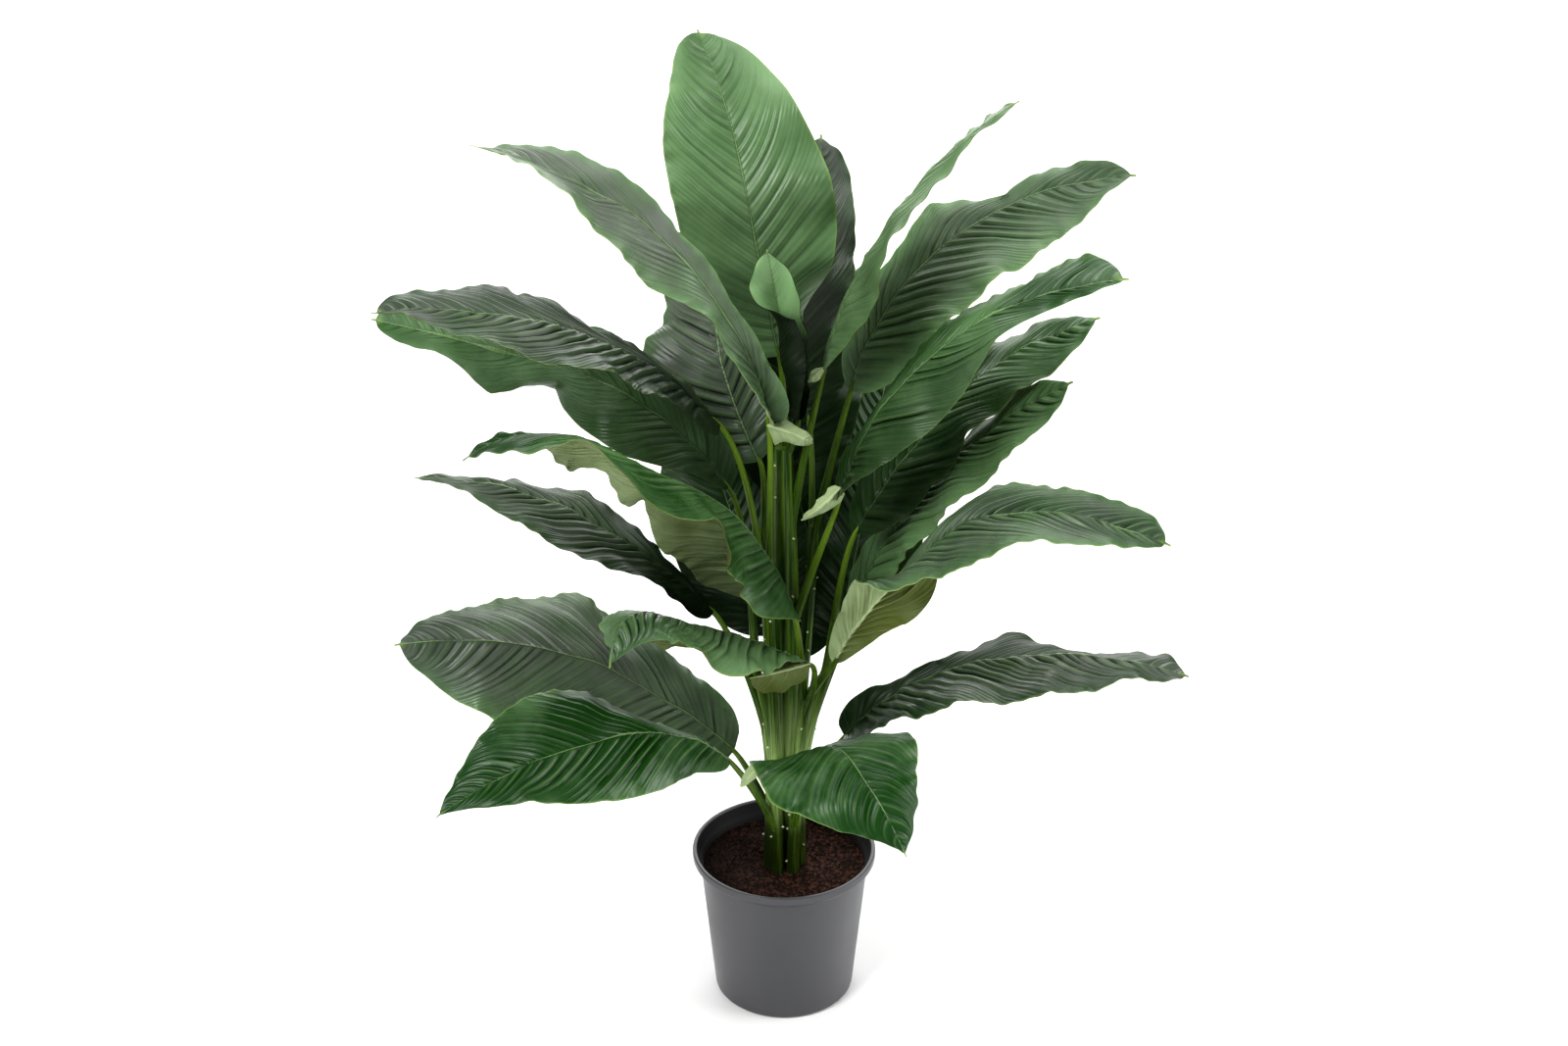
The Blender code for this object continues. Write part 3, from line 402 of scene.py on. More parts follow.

# The looks of each blade and lobe: how fresh its green is, partly as painted light, from 0 for the
# deepest to 1 for the palest, how much painted grey sheen it has, how deep its pleats are, how much
# painted shade its base has, and how lit the underside of its left and right halves is painted.
LOOKS = {
    "crown": (0.53, 0.15, 0.55, 0.3, 0.4, 0.4), "young": (1.15, 0.12, 0.12, 1.1, 0.0, 0.0),
    "upper_left": (0.5, 0.8, 0.9, 0.0, 0.9, 0.9), "right_narrow": (0.6, 0.3, 0.5, 0.5, 0.6, 0.6),
    "left_upper": (0.06, 0.75, 1.5, 1.0, 0.4, 0.4), "left_under": (0.34, 0.0, 0.8, 0.8, 0.4, 0.4),
    "low_left_front": (0.08, 0.0, 1.2, 0.0, 0.4, 0.4), "arch_left": (0.12, 0.0, 1.1, 0.4, 0.6, 0.75),
    "small_front": (0.38, 0.2, 1.3, 0.2, 0.6, 0.6), "front_low": (0.08, 0.0, 1.0, 0.0, 0.9, 0.9),
    "arch_right": (0.2, 0.5, 1.6, 0.0, 0.5, 0.9), "right_front": (0.24, 0.05, 1.9, 0.8, 0.9, 0.9),
    "low_right": (0.04, 0.75, 1.4, 0.6, 0.4, 0.4), "right_mid": (0.22, 0.0, 1.4, 0.8, 0.4, 0.4),
    "right_low_mid": (0.55, 0.0, 1.5, 0.35, 0.4, 0.4), "right_top": (0.40, 0.52, 1.0, 0.0, 0.4, 0.4),
    "back_right_high": (0.0, 0.8, 0.8, 0.9, 0.45, 0.45), "back_left_high": (0.3, 0.9, 1.5, 0.3, 0.4, 0.4),
    "back_left_low": (0.0, 0.2, 1.0, 1.0, 0.45, 0.45), "mid_left": (0.22, 0.66, 1.5, 1.1, 0.4, 0.4),
    "low_left_big": (0.3, 0.8, 0.9, 0.2, 0.4, 0.4), "back_high": (0.03, 0.3, 1.0, 0.9, 0.5, 0.5),
    "back_mid": (0.0, 0.2, 1.0, 0.9, 0.45, 0.45), "back_low": (0.0, 0.2, 1.0, 0.9, 0.5, 0.5),
    "lobe_upper_left": (0.4, 0.2, 0.3, 0.0, 1.0, 1.0), "lobe_right_front": (0.4, 0.2, 0.3, 0.0, 1.0, 1.0),
    "lobe_small_front": (0.3, 0.2, 0.5, 0.0, 0.6, 0.6), "lobe_front_low": (0.3, 0.1, 0.3, 0.0, 1.0, 1.0),
    "lobe_right_narrow": (0.4, 0.2, 0.3, 0.0, 0.85, 0.85),
}

# How bright the leaf stems are under their blades, where they stand out from the rest.
BRIGHT_STEMS = {"upper_left": 1.0, "right_front": 1.0, "right_mid": 1.0, "left_upper": 0.6, "arch_left": 0.6}
DULL_STEM = 0.25


def put(tree, node, key, value):
    """Gives a node's input a value, or links it to another node or socket."""
    socket = node.inputs[key]
    if isinstance(value, bpy.types.Node):
        value = next(output for output in value.outputs if output.enabled)
    if isinstance(value, bpy.types.NodeSocket):
        tree.links.new(value, socket)
    else:
        socket.default_value = value


def add(tree, kind, settings=None, inputs=None):
    """One node with its settings and its inputs, each a value, a node or a socket."""
    node = tree.nodes.new(kind)
    for key, value in (settings or {}).items():
        setattr(node, key, value)
    for key, value in (inputs or {}).items():
        put(tree, node, key, value)
    return node


def calc(tree, operation, *values):
    """A sum on one, two or three numbers."""
    return add(tree, "ShaderNodeMath", {"operation": operation}, dict(enumerate(values)))


def times(tree, first, *rest):
    """Numbers multiplied with each other."""
    for value in rest:
        first = calc(tree, "MULTIPLY", first, value)
    return first


def ease(tree, value, low, high, start=0.0, end=1.0):
    """A number eased from start to end as the value goes from low to high."""
    return add(tree, "ShaderNodeMapRange", {"interpolation_type": "SMOOTHSTEP"},
               {"Value": value, "From Min": low, "From Max": high, "To Min": start, "To Max": end})


def mix_colour(tree, share, first, second):
    """The first colour, with its share of the second."""
    colours = [(*colour, 1) if isinstance(colour, tuple) else colour for colour in (first, second)]
    node = add(tree, "ShaderNodeMix", {"data_type": "RGBA"}, {0: share, 6: colours[0], 7: colours[1]})
    return node.outputs[2]


def layered(tree, colour, *layers):
    """A colour with others laid over it in turn, each given after its share."""
    for share, over in layers:
        colour = mix_colour(tree, share, colour, over)
    return colour


def cloud(tree, place, scale, detail=2.0, roughness=0.5):
    """Soft noise at a place."""
    return add(tree, "ShaderNodeTexNoise", None,
               {"Vector": place, "Scale": scale, "Detail": detail, "Roughness": roughness})


def attribute(tree, name):
    """A piece's own number, as a material reads it."""
    return add(tree, "ShaderNodeAttribute", {"attribute_name": name}).outputs["Fac"]


def object_place(tree):
    """Where a point is on the object, in metres."""
    return add(tree, "ShaderNodeTexCoord").outputs["Object"]


def along_axis(tree, place, axis):
    """A place's own x, y or z, for axis 0, 1 or 2."""
    return add(tree, "ShaderNodeSeparateXYZ", None, {0: place}).outputs[axis]


def new_material(name, roughness=0.5, specular=0.5):
    """An empty finish: its tree and its shader."""
    material = bpy.data.materials.new(name)
    material.use_nodes = True
    shader = material.node_tree.nodes["Principled BSDF"]
    shader.inputs["Roughness"].default_value = roughness
    shader.inputs["Specular IOR Level"].default_value = specular
    return material, material.node_tree, shader


def bump(tree, shader, height, distance):
    """Fine relief, as high as distance in metres where height is 1."""
    node = add(tree, "ShaderNodeBump", None, {"Height": height, "Distance": distance, "Strength": 1.0})
    put(tree, shader, "Normal", node)


def fine_lines(tree, row):
    """The fine veins that run beside each other between the side veins."""
    drift = cloud(tree, add(tree, "ShaderNodeCombineXYZ", None, {0: row, 1: attribute(tree, "half")}), 2.0)
    turns = calc(tree, "MULTIPLY", row, 2 * math.pi * FINE_LINES)
    return calc(tree, "SINE", calc(tree, "MULTIPLY_ADD", drift, FINE_WANDER, turns))


def leaf_top():
    """The satin upper side: green with a painted grey sheen, painted shade in its furrows and painted
    highlights on its ridges.
    """
    material, tree, shader = new_material("leaf_top")
    place = object_place(tree)
    row, power, along = (attribute(tree, name) for name in ("vein_row", "power", "along"))
    between = calc(tree, "FRACT", row)
    lines = fine_lines(tree, row)
    margin = calc(tree, "ABSOLUTE", attribute(tree, "half"))
    # Green, partly painted light, in soft patches and fine streaks, fresher at the margins and deeper to the
    # tip
    patches = ease(tree, cloud(tree, place, 13.0, 4.0, 0.6), 0.3, 0.7, -0.17, 0.17)
    fresh_and_lit = calc(tree, "ADD", attribute(tree, "fresh_and_lit"), patches)
    fresh_and_lit = calc(tree, "MULTIPLY_ADD", lines, 0.03, fresh_and_lit)
    fresh_and_lit = calc(tree, "ADD", fresh_and_lit, ease(tree, margin, 0.6, 1.0, 0.0, 0.10))
    fresh_and_lit = calc(tree, "SUBTRACT", fresh_and_lit, ease(tree, along, 0.45, 0.9, 0.0, 0.2))
    # Painted grey sheen, thinner at the base and the margins
    painted_sheen = times(tree, attribute(tree, "painted_sheen"),
                  ease(tree, cloud(tree, place, 19.0, 4.0, 0.6), 0.3, 0.75, 1.0, 0.45),
                  ease(tree, margin, 0.6, 1.0, 1.0, 0.5), ease(tree, along, 0.0, 0.4, 0.5, 1.0))
    # Painted shade in the furrow on each side vein and a painted highlight on the ridge beside it
    furrow = calc(tree, "MAXIMUM", ease(tree, between, 0.0, 0.13, 1.0, 0.0),
                  ease(tree, between, 0.84, 1.0))
    ridge_highlight = times(tree, ease(tree, between, 0.08, 0.25), ease(tree, between, 0.25, 0.55, 1.0, 0.0),
                  power, 0.2)
    # Then a pale midrib between painted shade in its groove, a pale margin and tip, and painted shade in the
    # bunch's middle
    beside = calc(tree, "ABSOLUTE", attribute(tree, "off_rib"))
    core_shade = attribute(tree, "core_shade")
    put(tree, shader, "Base Color", layered(
        tree, LEAF_DEEP, (fresh_and_lit, LEAF_FRESH_LIT), (painted_sheen, LEAF_SHEEN_GREY),
        (times(tree, furrow, power, 0.7), LEAF_SHADE), (ridge_highlight, LEAF_VEIN_AND_HIGHLIGHT),
        (ease(tree, beside, 0.9, 2.6, 0.6, 0.0), LEAF_SHADE),
        (ease(tree, beside, 0.45, 1.2, 0.65, 0.0), LEAF_VEIN_AND_HIGHLIGHT),
        (ease(tree, margin, 0.965, 1.0, 0.0, 0.5), LEAF_MARGIN),
        (ease(tree, along, 0.96, 1.0, 0.0, 0.8), LEAF_MARGIN), (core_shade, LEAF_CORE_SHADE)))
    put(tree, shader, "Specular IOR Level", ease(tree, core_shade, 0.0, 1.0, 0.3, 0.1))
    put(tree, shader, "Roughness", ease(tree, cloud(tree, place, 34.0, 3.0), 0.3, 0.7, 0.27, 0.41))
    height = times(tree, lines, attribute(tree, "room"))
    height = calc(tree, "MULTIPLY_ADD", cloud(tree, place, 160.0), 0.4, height)
    bump(tree, shader, height, 0.00010)
    return material


def leaf_under():
    """The matt underside and the rim: dark, olive or pale green as painted shade and light, with raised
    veins.
    """
    material, tree, shader = new_material("leaf_under", 0.55, 0.25)
    row, power = attribute(tree, "vein_row"), attribute(tree, "power")
    patches = ease(tree, cloud(tree, object_place(tree), 15.0, 4.0), 0.3, 0.7, -0.12, 0.12)
    # How lit the underside is painted: dark where shaded, olive in half shade and its own pale where lit
    pale = calc(tree, "ADD", attribute(tree, "pale"), patches)
    apart = calc(tree, "PINGPONG", row, 0.5)
    raised = times(tree, ease(tree, apart, 0.0, 0.14, 1.0, 0.0), power)
    beside = calc(tree, "ABSOLUTE", attribute(tree, "off_rib"))
    # Painted shade and light: dark, olive or pale, then pale veins, olive between, a pale midrib and the
    # middle's painted shade
    put(tree, shader, "Base Color", layered(
        tree, UNDER_SHADED, (ease(tree, pale, 0.0, 0.5), UNDER_OLIVE),
        (ease(tree, pale, 0.5, 1.0), UNDER_PALE),
        (times(tree, raised, ease(tree, pale, 0.3, 1.0, 0.1, 0.5)), UNDER_VEIN),
        (times(tree, ease(tree, apart, 0.15, 0.5), power, 0.3), UNDER_OLIVE),
        (ease(tree, beside, 0.7, 1.8, 0.8, 0.0), UNDER_VEIN), (attribute(tree, "core_shade"), LEAF_CORE_SHADE)))
    height = times(tree, fine_lines(tree, row), attribute(tree, "room"))
    bump(tree, shader, calc(tree, "MULTIPLY_ADD", raised, 2.0, height), 0.00014)
    return material


def stem_skin():
    """Smooth stems: dark up the stalk, duller at the soil, bright just under a blade."""
    material, tree, shader = new_material("stem_skin", 0.36, 0.25)
    up = attribute(tree, "up")
    around = times(tree, attribute(tree, "around"), 2 * math.pi)
    ring = add(tree, "ShaderNodeCombineXYZ", None,
               {0: calc(tree, "COSINE", around), 1: calc(tree, "SINE", around), 2: times(tree, up, 1.5)})
    streaks = cloud(tree, ring, 3.0, 4.0, 0.6)
    stalk = calc(tree, "SUBTRACT", 1.0, attribute(tree, "leafy"))
    height = along_axis(tree, object_place(tree), 2)
    # Heights here are in metres: a dark foot, and a pale band a little above it, painted light from the
    # floor
    low = times(tree, ease(tree, height, 0.15, 0.3, 0.9, 0.0), stalk)
    foot = mix_colour(tree, ease(tree, streaks, 0.46, 0.7, 0.0, 0.4), STEM_FOOT, STEM_OLIVE)
    floor_light_band = times(tree, ease(tree, height, 0.172, 0.215), ease(tree, height, 0.25, 0.34, 1.0, 0.0), stalk,
                 ease(tree, streaks, 0.36, 0.52, 0.3, 1.0))
    near = times(tree, ease(tree, up, 0.3, 0.9, 0.05, 0.95), attribute(tree, "bright"))
    put(tree, shader, "Base Color", layered(
        tree, STEM_DARK, (ease(tree, streaks, 0.4, 0.58), STEM_OLIVE),
        (ease(tree, streaks, 0.6, 0.72, 0.0, 0.6), STEM_BRIGHT), (low, foot), (floor_light_band, STEM_PALE),
        (near, STEM_BRIGHT)))
    bump(tree, shader, streaks, 0.0006)
    return material


def peg_skin():
    """The small pale pegs on the stalks."""
    material, tree, shader = new_material("peg_skin")
    spots = cloud(tree, object_place(tree), 300.0)
    put(tree, shader, "Base Color", mix_colour(tree, spots, PEG_PALE, UNDER_PALE))
    return material


def pot_plastic():
    """Dark grey moulded plastic with a satin grain and faint mould rings, painted darker with shade inside,
    and dull inside.
    """
    material, tree, shader = new_material("pot_plastic_fine")
    place = object_place(tree)
    wear = cloud(tree, place, 14.0, 4.0)
    light = tuple(value * 1.35 for value in POT_GREY)
    inside = attribute(tree, "inside")
    # The inner side is painted darker, as shade
    put(tree, shader, "Base Color", layered(
        tree, POT_GREY, (wear, light), (times(tree, inside, 0.85), POT_INSIDE_SHADE)))
    satin = ease(tree, wear, 0.3, 0.7, 0.32, 0.42)
    put(tree, shader, "Roughness", calc(tree, "MULTIPLY_ADD", inside, 0.45, satin))
    rings = calc(tree, "SINE", times(tree, along_axis(tree, place, 2), 2 * math.pi / (MOULD_RING * MM)))
    grain = cloud(tree, place, 900.0)
    bump(tree, shader, calc(tree, "MULTIPLY_ADD", rings, 0.15, grain), 0.00008)
    return material


def peat():
    """Dark brown crumbs, some of them lighter, and painted darker on the left with shade."""
    material, tree, shader = new_material("peat", 0.92, 0.2)
    place = object_place(tree)
    # The left side is painted darker, as shade from the pot's wall
    put(tree, shader, "Base Color", layered(
        tree, PEAT_DARK, (ease(tree, cloud(tree, place, 260.0), 0.4, 0.68), PEAT_BROWN),
        (ease(tree, along_axis(tree, place, 0), -0.075, 0.0, 0.75, 0.0), PEAT_DARK)))
    bump(tree, shader, cloud(tree, place, 700.0, 3.0), 0.0006)
    return material


def read_off(values, steps, at):
    """Rows of values that are known at some steps, read off at others."""
    return np.stack([np.interp(at, steps, column) for column in values.T], axis=-1)


def bridge(share, start, leave, end, arrive):
    """Points at each share of a smooth curve from start to end, which leaves and arrives as given."""
    return ((2 * share**3 - 3 * share**2 + 1) * start + (share**3 - 2 * share**2 + share) * leave
            + (3 * share**2 - 2 * share**3) * end + (share**3 - share**2) * arrive)


def smooth_path(points, count):
    """Even steps along one smooth curve through the points, with the direction at each."""
    points = np.asarray(points, float)
    spans = np.linalg.norm(np.diff(points, axis=0), axis=1)
    knots = np.concatenate(([0.0], np.cumsum(spans)))
    slopes = np.gradient(points, knots, axis=0, edge_order=2 if len(points) > 2 else 1)
    fine = []
    for start in range(len(points) - 1):
        share = np.linspace(0, 1, CURVE_STEPS, endpoint=start == len(points) - 2)[:, None]
        fine.append(bridge(share, points[start], slopes[start] * spans[start],
                           points[start + 1], slopes[start + 1] * spans[start]))
    fine = np.concatenate(fine)
    run = np.concatenate(([0.0], np.cumsum(np.linalg.norm(np.diff(fine, axis=0), axis=1))))
    places = read_off(fine, run, np.linspace(0, run[-1], count))
    directions = np.gradient(places, axis=0, edge_order=2)
    return places, directions / np.linalg.norm(directions, axis=1)[:, None]


def across(vectors, directions):
    """The share of each vector that is square to its direction, one long."""
    vectors = vectors - (vectors * directions).sum(1)[:, None] * directions
    return vectors / np.linalg.norm(vectors, axis=1)[:, None]


def half_widths(blade, along):
    """Half the blade's width at each share of its length: full, then drawn out to the tip."""
    draw = blade.get("draw", TIP_DRAW)
    rise = draw * FULLEST / (1 - FULLEST)
    body = np.clip(along / TIP_START, 0, 1)
    shape = body**rise * (1 - body)**draw / (FULLEST**rise * (1 - FULLEST)**draw)
    least = BLADE_BASE_HALF + (BLADE_TIP_HALF - BLADE_BASE_HALF) * along
    return np.maximum(blade["width"] / 2 * shape, least)


def stepped(values, along):
    """Values given in even steps from base to tip, read at each share of the length."""
    values = np.asarray(values, float)
    steps = np.linspace(0, 1, len(values))
    return np.interp(along, steps, values) if values.ndim == 1 else read_off(values, steps, along)


def blade_surface(blade):
    """The blade's middle surface, as rows from base to tip of points from left to right."""
    along = np.linspace(0, 1, DENSE_STATIONS)
    places, directions = smooth_path(blade["points"], DENSE_STATIONS)
    up = across(stepped(blade["face"], along), directions)
    right = np.cross(directions, up)
    halves = half_widths(blade, along)
    rows = [places[:, None]]
    for side in (0, 1):
        turn = (-1, 1)[side]
        rise = np.radians(stepped(blade["rise"][side], along))
        curl = np.radians(stepped(np.atleast_1d(blade.get("curl", CURL)[side]), along))
        full = stepped(np.atleast_1d(blade.get("full", (1, 1))[side]), along)
        phase = math.radians(blade["phase"][side])
        ripple = blade["wave"] * np.sin(HALF_WAVES * math.pi * along + phase)
        ripple *= np.sin(math.pi * along)
        point, done, row = places, 0.0, []
        for share in HALF_COLUMNS:
            bend = rise + curl * (share + done) / 2
            step = halves * full * (share - done)
            point = point + turn * (np.cos(bend) * step)[:, None] * right
            point = point + (np.sin(bend) * step)[:, None] * up
            lift = ripple * share**2
            row.append(point + lift[:, None] * up)
            done = share
        side_rows = np.stack(row, axis=1)
        rows = [side_rows[:, ::-1]] + rows if side == 0 else rows + [side_rows]
    return np.concatenate(rows, axis=1)


def surface_normals(grid):
    """The direction that each point of the grid faces, upper side out."""
    along = np.gradient(grid, axis=0)
    over = np.gradient(grid, axis=1)
    normals = np.cross(over, along)
    return normals / np.maximum(np.linalg.norm(normals, axis=2), 1e-9)[:, :, None]


def give(mesh, key, values, domain="POINT"):
    """Gives each point or face of a mesh its own number or direction, under a name."""
    values = np.asarray(values, np.float32)
    kind, field = ("FLOAT", "value") if values.ndim == 1 else ("FLOAT_VECTOR", "vector")
    mesh.attributes.new(key, kind, domain).data.foreach_set(field, values.ravel())


def new_mesh(name, points, edges=(), faces=(), numbers=None):
    """A mesh from millimetres, with named numbers or directions on its points."""
    mesh = bpy.data.meshes.new(name)
    mesh.from_pydata((np.asarray(points) * MM).tolist(), edges, faces)
    for key, values in (numbers or {}).items():
        give(mesh, key, values)
    mesh.update()
    return mesh


def mesh_places(mesh):
    """Where a mesh's points are, in metres."""
    places = np.empty(len(mesh.vertices) * 3, np.float32)
    mesh.vertices.foreach_get("co", places)
    return places.reshape(-1, 3)


def new_object(name, data):
    """An object in the scene with a mesh, a light or a camera."""
    piece = bpy.data.objects.new(name, data)
    bpy.context.scene.collection.objects.link(piece)
    return piece


def baked(piece):
    """A piece's mesh with its modifiers taken into it."""
    graph = bpy.context.evaluated_depsgraph_get()
    return bpy.data.meshes.new_from_object(piece.evaluated_get(graph), depsgraph=graph)


def grow(name, mesh, tree):
    """Runs a node tree on a mesh and keeps the result as a plain mesh."""
    source = new_object(name + "_source", mesh)
    source.modifiers.new("grow", "NODES").node_group = tree
    result = baked(source)
    result.name = name
    bpy.data.objects.remove(source)
    return result


def finished(name, mesh, slot, *nodes, sharp=50.0):
    """A finished piece on the body, shaded smooth but for its sharp edges."""
    mesh.shade_smooth()
    mesh.set_sharp_from_angle(angle=math.radians(sharp))
    piece = new_object(name, mesh)
    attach(piece, "root")
    if nodes:
        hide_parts(*nodes)


def new_tree(name, sizes):
    """A geometry tree with a mesh in, a mesh out and named sizes: the tree and its input node."""
    tree = bpy.data.node_groups.new(name, "GeometryNodeTree")
    tree.interface.new_socket("Mesh", in_out="INPUT", socket_type="NodeSocketGeometry")
    for key, value in sizes.items():
        kind = "NodeSocketInt" if isinstance(value, int) else "NodeSocketFloat"
        tree.interface.new_socket(key, in_out="INPUT", socket_type=kind).default_value = value
    tree.interface.new_socket("Mesh", in_out="OUTPUT", socket_type="NodeSocketGeometry")
    return tree, tree.nodes.new("NodeGroupInput")


def close_tree(tree, result):
    """Real faces at the end of a geometry tree, and its output."""
    real = add(tree, "GeometryNodeRealizeInstances", None, {0: result})
    put(tree, tree.nodes.new("NodeGroupOutput"), 0, real)


def own_number(tree, name, kind="FLOAT"):
    """A piece's own number or direction, as a geometry tree reads it."""
    node = add(tree, "GeometryNodeInputNamedAttribute", {"data_type": kind}, {"Name": name})
    return next(output for output in node.outputs if output.enabled and output.name == "Attribute")


def push(tree, pieces, direction, height):
    """Moves points as far as height along their direction."""
    move = add(tree, "ShaderNodeVectorMath", {"operation": "SCALE"}, {0: direction, "Scale": height})
    return add(tree, "GeometryNodeSetPosition", None, {0: pieces, "Offset": move})


def pleats_tree(top, under):
    """Folds the side veins into a blade: a narrow furrow on each vein and a slope up from it."""
    tree, given = new_tree("vein_pleats", {"Depth": PLEAT_DEPTH * MM, "Crest": PLEAT_CREST})
    between = calc(tree, "FRACT", own_number(tree, "vein_row"))
    climb = ease(tree, between, 0.0, given.outputs["Crest"])
    fall = ease(tree, between, given.outputs["Crest"], 1.0, 1.0, 0.0)
    fold = calc(tree, "SUBTRACT", times(tree, climb, fall), 0.5)
    height = times(tree, fold, own_number(tree, "power"), given.outputs["Depth"])
    moved = push(tree, given.outputs[0], own_number(tree, "facing", "FLOAT_VECTOR"), height)
    skin = add(tree, "GeometryNodeSetMaterial", None, {0: moved, "Material": under})
    upper = calc(tree, "GREATER_THAN", own_number(tree, "upper"), 0.5)
    skin = add(tree, "GeometryNodeSetMaterial", None, {0: skin, "Selection": upper, "Material": top})
    close_tree(tree, skin)
    return tree


def vein_sweep(row):
    """How far the side veins run ahead, most at SWEEP_MOST and nothing at base and tip."""
    before = np.sin(math.pi / 2 * row / SWEEP_MOST)
    after = np.cos(math.pi / 2 * (row - SWEEP_MOST) / (1 - SWEEP_MOST))
    return VEIN_SWEEP * np.where(row < SWEEP_MOST, before, after)


def vein_starts(draw, veins):
    """Where the side veins leave the midrib, unevenly, as shares of the blade's length."""
    spans = draw.uniform(*VEIN_UNEVEN, veins)
    places = np.concatenate(([0.0], np.cumsum(spans)))
    return places / places[-1]


def ends_faded(row, base, tip):
    """1 along a blade, falling to 0 over these shares of its length at base and tip."""
    return (np.clip(row / base, 0, 1) * np.clip((1 - row) / tip, 0, 1))[:, None]


def vein_power(draw, veins, at, row, halves):
    """How strong the side veins are: each its own strength, and its own place to fade out."""
    power = np.empty((len(row), len(halves)))
    for side in (-1, 1):
        strength = np.interp(at, np.arange(veins + 1), draw.uniform(*VEIN_STRENGTH, veins + 1))[:, None]
        reach = np.interp(at, np.arange(veins + 1), draw.uniform(*VEIN_REACH, veins + 1))[:, None]
        here = np.sign(halves) == side
        out = np.abs(halves[here])[None]
        fade = np.clip((reach + VEIN_FADE / 2 - out) / VEIN_FADE, VEIN_LEAST, 1)
        power[:, here] = strength * (fade * np.clip(out / VEIN_CLEAR, 0, 1))
    power[:, halves == 0] = 0
    return power * ends_faded(row, VEIN_CLEAR, VEIN_END)


def vein_runs(draw, veins, at, row, halves):
    """How far along the blade each row lies at each half width, as a share of the length."""
    runs = np.empty((len(row), len(halves)))
    for side in (-1, 0, 1):
        wander = draw.uniform(-VEIN_WANDER, VEIN_WANDER, veins + 1) / veins
        wander[[0, -1]] = 0
        wander = np.interp(at, np.arange(veins + 1), wander)[:, None]
        here = np.sign(halves) == side
        out = np.abs(halves[here])[None]
        moved = row[:, None] + wander * out
        runs[:, here] = moved + vein_sweep(moved) * out**VEIN_CURVE
    return np.clip(runs, 0, 1)


def vein_room(grid):
    """How much of its depth a pleat keeps, 1 for all of it, given the room between side veins."""
    over = np.gradient(grid, axis=1)
    over = over / np.linalg.norm(over, axis=2)[:, :, None]
    step = np.gradient(grid, axis=0)
    apart = np.linalg.norm(np.cross(over, step), axis=2) * ROWS_PER_VEIN
    return np.clip(apart / PLEAT_ROOM, 0, 1)**1.5


def humps(draw, run, off, halves):
    """How far the surface stands out in soft waves, and in small ones along the margins."""
    height = np.zeros(run.shape)
    for _ in range(HUMPS):
        turn, start = draw.uniform(0, math.pi), draw.uniform(0, 2 * math.pi)
        wave = 2 * math.pi / draw.uniform(*HUMP_LENGTHS)
        height += HUMP_HEIGHT * np.sin(wave * (math.cos(turn) * run + math.sin(turn) * off) + start)
    for side in (-1, 1):
        share = np.clip(side * halves, 0, 1)[None]**4
        for _ in range(FRILLS):
            wave = 2 * math.pi / draw.uniform(*FRILL_LENGTHS)
            height += FRILL_HEIGHT * np.sin(wave * run + draw.uniform(0, 2 * math.pi)) * share
    return height


def read_at(values, run):
    """Values known at even steps along the blade, read in each column at the shares given by run."""
    steps = np.linspace(0, 1, len(values))
    columns = zip(values.swapaxes(0, 1), run.T)
    return np.stack([read_off(column, steps, at) for column, at in columns], axis=1)


def rib_relief(row, off_rib):
    """Beside the midrib: how deep the upper side sinks and how far the underside stands out."""
    slender = (1 - RIB_TAPER * row)[:, None]
    sunk = slender * (RIB_GROOVE * np.exp(-(off_rib / GROOVE_WIDTH)**2)
                      - RIB_RIDGE * np.exp(-(off_rib / RIDGE_WIDTH)**2))
    rib = BLADE_RIB * (1 - row)[:, None] * np.exp(-(off_rib / RIB_WIDTH)**2)
    return sunk, np.maximum(rib, sunk)


def shell_faces(rows, width):
    """The faces of a closed shell round a grid: those of its upper side, and the rest."""
    index = np.arange(rows * width).reshape(rows, width)
    upper = np.stack([index[:-1, :-1], index[:-1, 1:], index[1:, 1:], index[1:, :-1]], -1).reshape(-1, 4)
    rest = (upper[:, ::-1] + index.size).tolist()
    rim = np.concatenate([index[0, ::-1], index[1:, 0], index[-1, 1:], index[-2:0:-1, -1]])
    for here, after in zip(rim, np.roll(rim, -1)):
        rest.append([here, after, after + index.size, here + index.size])
    return upper.tolist(), rest


def core_shade_share(grid, row, base_shade):
    """How much painted shade a blade gets in the middle of the bunch and at its own base."""
    away = np.hypot(grid[:, :, 0], grid[:, :, 1])
    core_shade = np.exp(-(away / CORE_REACH)**2) * np.clip((CORE_TOP - grid[:, :, 2]) / CORE_FADE, 0, 1)
    core_shade *= CORE_MOST * min(1, 2 * base_shade)
    return np.maximum(core_shade, CORE_MOST * base_shade * np.clip(1.2 - 2 * row, 0, 1)[:, None])


def off_midrib(dense, middle):
    """How far each point of the surface is from the midrib along its row, below 0 on the left."""
    steps = np.linalg.norm(np.diff(dense, axis=1), axis=2)
    from_edge = np.concatenate((np.zeros((len(dense), 1)), np.cumsum(steps, axis=1)), axis=1)
    return (from_edge - from_edge[:, middle:middle + 1])[:, :, None]


